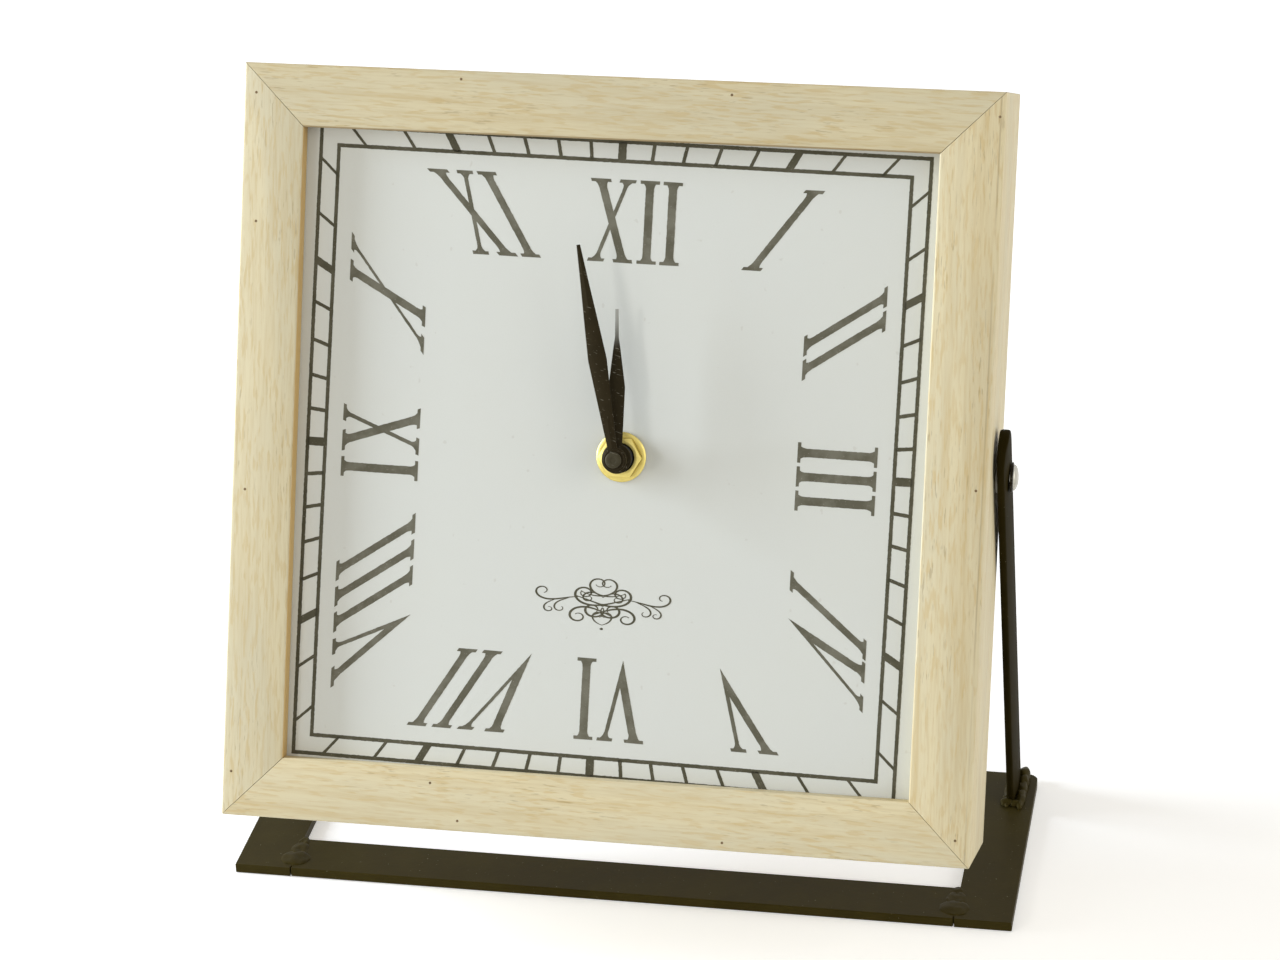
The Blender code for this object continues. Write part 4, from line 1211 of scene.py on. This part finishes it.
@dataclass
class Hands:
    """The hour hand, the minute hand and the brass fittings round their shaft."""

    minute_angle: float = math.radians(-12)
    minute_length: float = 0.062
    hour_angle: float = math.radians(-2.2)
    hour_length: float = 0.0428
    cap_back: float = -0.0073
    cap_front: float = -0.0082
    cap_steps: int = 48
    washer_steps: int = 96
    nut_across_flats: float = 0.011
    nut_back: float = 0.0041
    nut_face: float = 0.0021
    nut_bore: float = 0.0042
    nut_turn: float = 30.0
    nut_steps: int = 72
    nut_crease: float = 14.0

    def make_hour_hand(self, paint: bpy.types.Material) -> None:
        """Make the hour hand with its collet."""
        hub = [(0.00282, 0.00128), (0.00282, -0.00012), (0.0031, -0.00018), (0.0034, -0.00012),
               (0.0041, -0.00006), (0.0043, 0.00008), (0.0043, 0.00036), (0.0040, 0.0004), (0.0040, 0.00128)]
        widths = ((0.0036, 0.0032), (0.0205, 0.0048), (0.0325, 0.0018), (0.0345, 0.0011),
                  (self.hour_length, 0.0009))
        hand = PressedHand("pressed_hour_hand", Body.HOUR, "hour_hand", HOUR_HAND_DEPTH,
                           self.hour_angle, self.hour_length, widths, hub)
        hand.make(paint)

    def make_minute_hand(self, paint: bpy.types.Material) -> None:
        """Make the minute hand with its hub ring."""
        hub = [(0.00187, 0.00128), (0.00187, -0.0008), (0.0029, -0.0008), (0.00305, -0.00068),
               (0.00305, -0.0002), (0.0034, -0.00012), (0.0036, 0.00004), (0.0036, 0.00034),
               (0.0031, 0.0004), (0.0031, 0.00128)]
        widths = ((0.0030, 0.0026), (0.0290, 0.0054), (0.0404, 0.0039), (0.0510, 0.0024),
                  (self.minute_length, 0.0010))
        hand = PressedHand("pressed_minute_hand", Body.MINUTE, "minute_hand", MINUTE_HAND_DEPTH,
                           self.minute_angle, self.minute_length, widths, hub)
        hand.make(paint)

    def make_cap(self, paint: bpy.types.Material) -> None:
        """Make the small cap on the minute hand's hub, with a ring turned in its face."""
        front = self.cap_front
        profile = [(0.0, front + 0.00012), (0.0009, front + 0.00012), (0.0010, front + 0.00002),
                   (0.0013, front), (0.0019, front), (0.00215, front + 0.0001), (0.0023, front + 0.0003),
                   (0.0023, self.cap_back), (0.0, self.cap_back)]
        bm = turned(profile, self.cap_steps)
        bmesh.ops.transform(bm, matrix=shaft_place(), verts=bm.verts)
        add_piece("shaft_cap", bm, paint, Body.MINUTE, ("minute_cap",))

    def make_washer(self, brass: bpy.types.Material) -> None:
        """Make the dished brass washer that presses on the dial."""
        profile = [(0.0042, 0.0050), (0.0042, 0.00440), (0.0056, 0.00444), (0.0061, 0.00438),
                   (0.0066, 0.0044), (0.0070, 0.00456), (0.00725, 0.0048), (0.00725, 0.0050)]
        bm = turned(profile, self.washer_steps)
        bmesh.ops.transform(bm, matrix=shaft_place(), verts=bm.verts)
        add_piece("dished_washer", bm, brass, Body.CASE, ("brass_washer",))

    def make_nut(self, brass: bpy.types.Material) -> None:
        """Make the nut: a round blank with a chamfered face, cut to six flats."""
        face, back, bore = self.nut_face, self.nut_back, self.nut_bore
        flats = self.nut_across_flats / 2
        corner = flats / math.cos(math.pi / 6)
        profile = [(bore, back), (bore, face + 0.0002), (bore + 0.0002, face), (flats - 0.0005, face),
                   (flats - 0.0002, face + 0.00008), (corner, face + 0.0006), (corner, back)]
        bm = turned(profile, self.nut_steps)
        for flat in range(6):
            angle = math.radians(60 * flat + self.nut_turn)
            outwards = Vector((math.cos(angle), 0.0, math.sin(angle)))
            cut_away(bm, outwards * flats, outwards)
        bmesh.ops.transform(bm, matrix=shaft_place(), verts=bm.verts)
        add_piece("shaft_nut", bm, brass, Body.CASE, ("brass_nut",), crease=self.nut_crease)


@dataclass
class Uprights:
    """The two flat steel uprights: an outer side worn round towards the front, and a half round top."""

    half_width: float = 0.008
    above_pivot: float = 0.0157
    slope: float = 0.35
    arris: float = 0.0007
    arris_width_share: float = 0.6
    arris_thickness_share: float = 0.25
    arris_steps: int = 3
    front_wear: float = 0.0008
    rear_wear: float = 0.00015
    ridge: float = 0.2
    side_steps: int = 10
    top_angle: float = math.radians(89)
    top_steps: int = 18

    def section(self, half: float, thickness: float) -> list[Point]:
        """Return the section of the bar, outwards from its inner side and along its width.

        Args:
            half: Half of the bar's width at this height.
            thickness: The bar's thickness at this height.

        Returns:
            The closed outline.
        """
        soft = min(self.arris, half * self.arris_width_share, thickness * self.arris_thickness_share)
        scale = min(1.0, half / self.half_width)
        front = thickness - self.front_wear * scale
        rear = thickness - self.rear_wear * scale
        points = []
        for step in range(1, self.side_steps):
            share = 2 * step / self.side_steps - 1
            forward = max(0.0, self.ridge - share) / (1 + self.ridge)
            points.append((thickness - (thickness - front) * forward ** 2, share * (half - soft)))
        reach = half - soft
        corners = ((rear - soft, reach), (soft, reach), (soft, -reach), (front - soft, -reach))
        for quarter, (out, across) in enumerate(corners):
            for step in range(self.arris_steps + 1):
                angle = math.pi / 2 * (quarter + step / self.arris_steps)
                points.append((out + soft * math.cos(angle), across + soft * math.sin(angle)))
        return points

    def rows(self, foot: float) -> list[Triple]:
        """Return the height over the top's middle, half width and inset of each section."""
        rows = [(-foot, self.half_width, 0.0), (0.0, self.half_width, 0.0)]
        for step in range(1, self.top_steps + 1):
            angle = self.top_angle * step / self.top_steps
            height = self.half_width * math.sin(angle)
            past = max(0.0, height - self.half_width + self.arris) / self.arris
            inset = self.arris * (1 - math.sqrt(1 - past ** 2))
            rows.append((height, self.half_width * math.cos(angle), inset))
        return rows

    def bar(self, inner: float, side: int, thickness: float) -> bmesh.types.BMesh:
        """Return one leaning bar through all its sections, open at its foot below the base.

        Args:
            inner: Place of the bar's inner side along X.
            side: -1 at the left and 1 at the right.
            thickness: The bar's thickness.

        Returns:
            The bar.
        """
        lean = math.atan(self.slope)
        rise = self.above_pivot - self.half_width
        middle = Vector((0.0, PIVOT[1] - self.slope * rise, PIVOT[2] + rise))
        along = Vector((0.0, -math.sin(lean), math.cos(lean)))
        width = Vector((0.0, math.cos(lean), math.sin(lean)))
        bm = bmesh.new()
        loops = []
        for height, half, inset in self.rows((middle.z + self.half_width) / math.cos(lean)):
            ring = []
            for out, across in self.section(half, thickness - 2 * inset):
                outwards = Vector((inner + side * (out + inset), 0.0, 0.0))
                ring.append(middle + along * height + width * across + outwards)
            loops.append(cross_section(bm, [*ring, ring[0]]))
        for first, second in zip(loops, loops[1:]):
            bmesh.ops.bridge_loops(bm, edges=[*first, *second])
        bmesh.ops.remove_doubles(bm, verts=bm.verts, dist=SAME_POINT)
        return bm

    def make(self, paint: bpy.types.Material) -> None:
        """Make both uprights in the places of the frame's own."""
        for side, name in ((-1, "left"), (1, "right")):
            low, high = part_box("upright_" + name)
            bm = self.bar(low.x if side > 0 else high.x, side, high.x - low.x)
            cut_away(bm, (0, 0, low.z), (0, 0, -1))
            add_piece("rounded_upright_" + name, bm, paint, Body.STAND, ("upright_" + name,))


@dataclass
class WeldBeads:
    """Lumpy weld beads round the uprights' feet and ground welds on the base's seams."""

    lump: float = 0.0005
    lump_size: float = 0.0016
    bead_count: int = 5
    bar_top: float = 0.003
    outer_inset: float = 0.0005
    outer_out: Point = (0.0015, 0.0005)
    outer_along: Point = (1.7, -0.6)
    outer_up: Point = (0.0015, 0.0018)
    inner_size: Triple = (0.0013, 1.5, 0.0011)
    front_flatness: float = 0.8
    front_lumps: tuple[Triple, ...] = (
        (-0.0016, 0.0006, 0.0018), (0.0012, 0.0010, 0.0015), (0.0030, 0.0004, 0.0010),
    )
    seam_bar: float = 0.0172
    seam_gap: float = 0.0003
    seam_overlap: float = 1.6
    seam_short: float = 0.0016
    seam_thin: float = 0.0004
    seam_back: float = 0.0006
    seam_rise: float = 0.00012
    seam_lump_shift: float = 0.0004
    seam_lumps: tuple = (
        (0.34, 0.0046, 0.0040, 0.00050), (0.62, 0.0030, 0.0042, 0.00028), (0.86, 0.0016, 0.0030, 0.00018),
    )

    def bead(self, centre: Vector, size: Vector, seed: float) -> bmesh.types.BMesh:
        """Return one rounded lump, flattened to a size and roughened.

        Args:
            centre: Middle of the lump in the frame.
            size: Half sizes along X, Y and Z.
            seed: Offset of the noise.

        Returns:
            The lump.
        """
        bm = bmesh.new()
        bmesh.ops.create_icosphere(bm, subdivisions=3, radius=1.0)
        for vert in bm.verts:
            place = Vector((vert.co.x * size.x, vert.co.y * size.y, vert.co.z * size.z))
            push = noise.noise(place / self.lump_size + Vector((seed, seed, 0))) * self.lump
            vert.co = place + vert.co * push + centre
        return bm

    def outer_size(self, stride: float, climb: float) -> Vector:
        """Return the half sizes of an outer bead.

        Args:
            stride: Distance from one bead to the next.
            climb: 0 for the front bead and 1 for the rear one.

        Returns:
            The half sizes along X, Y and Z.
        """
        out, out_growth = self.outer_out
        along, along_growth = self.outer_along
        up, up_growth = self.outer_up
        return Vector((out + out_growth * climb, stride * (along + along_growth * climb),
                       up + up_growth * climb ** 2))

    def seam(self, name: str, side: int, paint: bpy.types.Material) -> None:
        """Make the ground weld that fills the seam between the front bar and a side bar.

        Args:
            name: Left or right.
            side: -1 at the left and 1 at the right.
            paint: Paint of the stand.
        """
        low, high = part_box("base_side_bar_" + name)
        inner = high.x if side < 0 else low.x
        middle = inner - side * self.seam_gap / 2
        size = (self.seam_gap * self.seam_overlap, self.seam_bar - self.seam_short,
                self.bar_top - self.seam_thin)
        place = (middle, low.y + self.seam_bar / 2 + self.seam_back, self.bar_top / 2 + self.seam_rise)
        whole = bmesh.new()
        bmesh.ops.create_cube(whole, size=1.0)
        bmesh.ops.scale(whole, verts=whole.verts, vec=size)
        bmesh.ops.translate(whole, verts=whole.verts, vec=place)
        for share, broad, deep, tall in self.seam_lumps:
            across = middle - side * self.seam_lump_shift
            centre = Vector((across, low.y + self.seam_bar * share, self.bar_top))
            join_into(whole, self.bead(centre, Vector((broad, deep, tall)), side + share))
        cut_away(whole, (0, 0, self.seam_gap), (0, 0, -1))
        add_piece("seam_weld_" + name, whole, paint, Body.STAND)

    def foot(self, name: str, side: int, paint: bpy.types.Material) -> None:
        """Make the weld round an upright's foot, which climbs towards the rear outside.

        Args:
            name: Left or right.
            side: -1 at the left and 1 at the right.
            paint: Paint of the stand.
        """
        low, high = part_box("foot_weld_" + name)
        foot_low, foot_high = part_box("upright_" + name)
        outer_x = (low.x + high.x) / 2 - side * self.outer_inset
        inner_x = foot_low.x if side > 0 else foot_high.x
        stride = (high.y - low.y) / self.bead_count
        broad, deep, tall = self.inner_size
        inner_size = Vector((broad, stride * deep, tall))
        whole = bmesh.new()
        for number in range(self.bead_count):
            along = low.y + stride * (number + 0.5)
            outer_size = self.outer_size(stride, number / (self.bead_count - 1))
            join_into(whole, self.bead(Vector((outer_x, along, low.z)), outer_size, side + number))
            join_into(whole, self.bead(Vector((inner_x, along, low.z)), inner_size, side - number))
        for across, ahead, size in self.front_lumps:
            centre = Vector(((foot_low.x + foot_high.x) / 2 + side * across, low.y - ahead, low.z))
            flattened = Vector((size, size, size * self.front_flatness))
            join_into(whole, self.bead(centre, flattened, side + ahead))
        cut_away(whole, (0, 0, low.z), (0, 0, -1))
        add_piece("weld_bead_" + name, whole, paint, Body.STAND, ("foot_weld_" + name,))

    def make(self, paint: bpy.types.Material) -> None:
        """Make both feet's beads and the ground welds on the front seams."""
        for side, name in ((-1, "left"), (1, "right")):
            self.foot(name, side, paint)
            self.seam(name, side, paint)


class Fittings:
    """Finishes for the frame's solids whose shapes already show the real ones."""

    def __init__(self, nodes: dict[str, bpy.types.Object]) -> None:
        """Keep the frame's nodes by name."""
        self.nodes = nodes

    def paint(self, names: str, finish: bpy.types.Material) -> None:
        """Give nodes a finish.

        Args:
            names: Names of the nodes, with spaces between them.
            finish: The finish.
        """
        for name in names.split():
            slots = self.nodes[name].data.materials
            slots.clear()
            slots.append(finish)
            log.info("%s keeps its solid and takes %s", name, finish.name)

    def finish_all(self, stand: bpy.types.Material, brass: bpy.types.Material,
                   hand_paint: bpy.types.Material) -> None:
        """Give every solid of the frame its finish.

        Args:
            stand: Paint of the stand.
            brass: Brass of the shaft's fittings.
            hand_paint: Lacquer of the hands.
        """
        nylon = Moulding("nylon", (0.74, 0.73, 0.68), (0.80, 0.79, 0.75), 0.42).make()
        black = Moulding("black_plastic", (0.016, 0.016, 0.018), (0.030, 0.030, 0.033), 0.44).make()
        rubber = Moulding("rubber", (0.018, 0.018, 0.018), (0.03, 0.03, 0.03), 0.75, 0.00005).make()
        bright = PlainMetal("bright_steel", (0.50, 0.48, 0.42), (0.30, 0.28, 0.22), 0.24).make()
        tinned = PlainMetal("tinned_steel", (0.60, 0.60, 0.58), (0.42, 0.41, 0.38), 0.26).make()
        wheel_brass = PlainMetal("wheel_brass", (0.78, 0.57, 0.24), (0.55, 0.37, 0.14), 0.26).make()
        self.paint("base_front_bar base_side_bar_left base_side_bar_right upright_left upright_right "
                   "foot_weld_left foot_weld_right", stand)
        self.paint("pivot_screw_left pivot_screw_right", bright)
        self.paint("pivot_washer_left pivot_washer_right", hand_paint)
        self.paint("pivot_spacer_left pivot_spacer_right hour_wheel minute_wheel fifth_wheel "
                   "setting_knob", nylon)
        self.paint("movement_shell movement_cover", black)
        self.paint("rubber_washer", rubber)
        self.paint("contact_positive contact_negative stator rotor", tinned)
        self.paint("centre_wheel third_wheel fourth_wheel minute_arbor", wheel_brass)
        self.paint("brass_washer brass_nut", brass)
        self.paint("dial_paper", DialPaper().make())
        self.paint("dial_board", PressedBoard().make())
        self.paint("battery_cell", CellJacket().make())
        self.paint("coil", WoundCopper().make())
        self.paint("circuit_board", CircuitBoard().make())


@dataclass(frozen=True)
class SoftLight:
    """A soft light: its name, place, width and height, watts, colour and the direction of its height."""

    name: str
    place: Triple
    size: Point
    power: float
    colour: Colour
    rise: Triple = (0.0, 0.0, 1.0)


@dataclass
class Studio:
    """The camera, the soft lights and the pale floor."""

    eye: Triple = (0.206449, -0.990206, 0.651824)
    right: Triple = (0.983128, 0.180652, -0.028699)
    look: Triple = (-0.173911, 0.874518, -0.45274)
    lens: float = 110.695
    sensor: float = 36.0
    nearest: float = 0.01
    floor_reach: float = 2.1
    floor_drop: float = 0.0002
    floor_colour: Colour = (0.80, 0.80, 0.79)
    floor_seen_colour: Colour = (0.97, 0.97, 0.97)
    floor_glow: float = 0.39
    floor_roughness: float = 0.9
    room_level: float = 0.45
    room_colour: Colour = (1.0, 0.95, 0.85)
    light_target: Triple = (0.0, 0.02, 0.12)
    lights: tuple[SoftLight, ...] = (
        SoftLight("window_left", (-2.191, -0.260, 0.752), (0.43, 1.6), 70.0, (0.79, 0.88, 1.0),
                  (0.208, 0.368, 0.907)),
        SoftLight("soft_right", (1.6, -0.5, 0.7), (1.4, 1.4), 10.2, (0.97, 0.99, 1.0)),
        SoftLight("lamp_front", (-0.92, -1.2, 0.63), (0.25, 0.25), 3.6, (1.0, 0.98, 0.95)),
    )

    def place_camera(self) -> None:
        """Put the camera where the photograph was taken from."""
        data = bpy.data.cameras.new("camera")
        data.lens = self.lens
        data.sensor_fit = "HORIZONTAL"
        data.sensor_width = self.sensor
        data.clip_start = self.nearest
        camera = bpy.data.objects.new("camera", data)
        right = Vector(self.right).normalized()
        back = -Vector(self.look).normalized()
        up = back.cross(right)
        turn = Matrix((right, up, back)).transposed().to_4x4()
        camera.matrix_world = Matrix.Translation(self.eye) @ turn
        bpy.context.scene.collection.objects.link(camera)
        bpy.context.scene.camera = camera

    def hang(self, lamp: SoftLight) -> None:
        """Hang a soft light so that it faces the clock."""
        data = bpy.data.lights.new(lamp.name, "AREA")
        data.shape = "RECTANGLE"
        data.size, data.size_y = lamp.size
        data.energy = lamp.power
        data.color = lamp.colour
        light = bpy.data.objects.new(lamp.name, data)
        back = (Vector(lamp.place) - Vector(self.light_target)).normalized()
        across = Vector(lamp.rise).cross(back).normalized()
        turn = Matrix((across, back.cross(across), back)).transposed().to_4x4()
        light.matrix_world = Matrix.Translation(lamp.place) @ turn
        bpy.context.scene.collection.objects.link(light)

    def lay_floor(self) -> None:
        """Lay the plain pale floor, which glows a little where the camera or a metal sees it."""
        bm = bmesh.new()
        bmesh.ops.create_grid(bm, x_segments=2, y_segments=2, size=self.floor_reach)
        mesh = bpy.data.meshes.new("studio_floor")
        bm.to_mesh(mesh)
        bm.free()
        graph = Graph("studio_floor")
        ray = graph.node("ShaderNodeLightPath", output="Is Camera Ray")
        gloss = graph.node("ShaderNodeLightPath", output="Is Glossy Ray")
        seen = graph.math("MAXIMUM", ray, gloss)
        tone = graph.mix(seen, self.floor_colour, self.floor_seen_colour)
        glow = graph.mix(seen, (0.0, 0.0, 0.0), (self.floor_glow,) * 3)
        mesh.materials.append(graph.dress(base_color=tone, roughness=self.floor_roughness,
                                          specular_ior_level=0.0, emission_color=glow, emission_strength=1.0))
        floor = bpy.data.objects.new("studio_floor", mesh)
        floor.location = (0.0, 0.0, -self.floor_drop)
        bpy.context.scene.collection.objects.link(floor)

    def set_room(self) -> None:
        """Set the world's even light, white to the camera and in metal, and the plain view transform."""
        world = bpy.data.worlds.new("room")
        world.use_nodes = True
        tree = world.node_tree
        even = tree.nodes["Background"]
        even.inputs["Color"].default_value = (*self.room_colour, 1.0)
        even.inputs["Strength"].default_value = self.room_level
        white = tree.nodes.new("ShaderNodeBackground")
        white.inputs["Color"].default_value = (1.0, 1.0, 1.0, 1.0)
        ray = tree.nodes.new("ShaderNodeLightPath")
        seen = tree.nodes.new("ShaderNodeMath")
        seen.operation = "MAXIMUM"
        tree.links.new(ray.outputs["Is Camera Ray"], seen.inputs[0])
        tree.links.new(ray.outputs["Is Glossy Ray"], seen.inputs[1])
        blend = tree.nodes.new("ShaderNodeMixShader")
        tree.links.new(seen.outputs["Value"], blend.inputs[0])
        tree.links.new(even.outputs["Background"], blend.inputs[1])
        tree.links.new(white.outputs["Background"], blend.inputs[2])
        tree.links.new(blend.outputs["Shader"], tree.nodes["World Output"].inputs["Surface"])
        bpy.context.scene.world = world
        bpy.context.scene.view_settings.view_transform = "Standard"

    def set_up(self) -> None:
        """Place the camera, the floor, the room's light and the soft lights."""
        self.place_camera()
        self.lay_floor()
        self.set_room()
        for lamp in self.lights:
            self.hang(lamp)


def main() -> None:
    """Build the looks of the clock and report each piece."""
    logging.basicConfig(level=logging.INFO, format="%(name)s %(message)s")
    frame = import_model()

    Studio().set_up()

    stand_paint = StandPaint().make()
    # The uprights take a darker copy of the stand's paint: painted shade.
    shaded_upright_paint = StandPaint("shaded_upright_paint", (0.017, 0.0125, 0.0030), (0.024, 0.0175, 0.0045),
                               level=0.015, rough=0.55).make()
    brass = PlainMetal("washer_brass", (0.65, 0.53, 0.165), (0.46, 0.37, 0.10), 0.34).make()
    hand_paint = HandPaint().make()
    cap_paint = HandPaint("cap_paint", colour=(0.040, 0.035, 0.021), brown=(0.066, 0.058, 0.037)).make()
    # The hour hand's tip carries a painted highlight.
    hour_paint = HandPaint("hour_hand_paint_tip_highlight", tip_highlight_from=0.0375).make()
    numeral_ink = DialInk().make()
    track_ink = DialInk("track_ink", (0.074, 0.069, 0.042), (0.105, 0.098, 0.066)).make()
    Fittings(frame["nodes"]).finish_all(stand_paint, brass, hand_paint)

    case = WoodenCase()
    case.dress_rails()
    case.drive_brads()

    dial = DialPrint()
    dial.print_track(track_ink)
    dial.print_numerals(numeral_ink)
    dial.print_scroll(track_ink)

    hands = Hands()
    hands.make_washer(brass)
    hands.make_nut(brass)
    hands.make_hour_hand(hour_paint)
    hands.make_minute_hand(hand_paint)
    hands.make_cap(cap_paint)
    Uprights().make(shaded_upright_paint)
    WeldBeads().make(stand_paint)


if __name__ == "__main__":
    main()
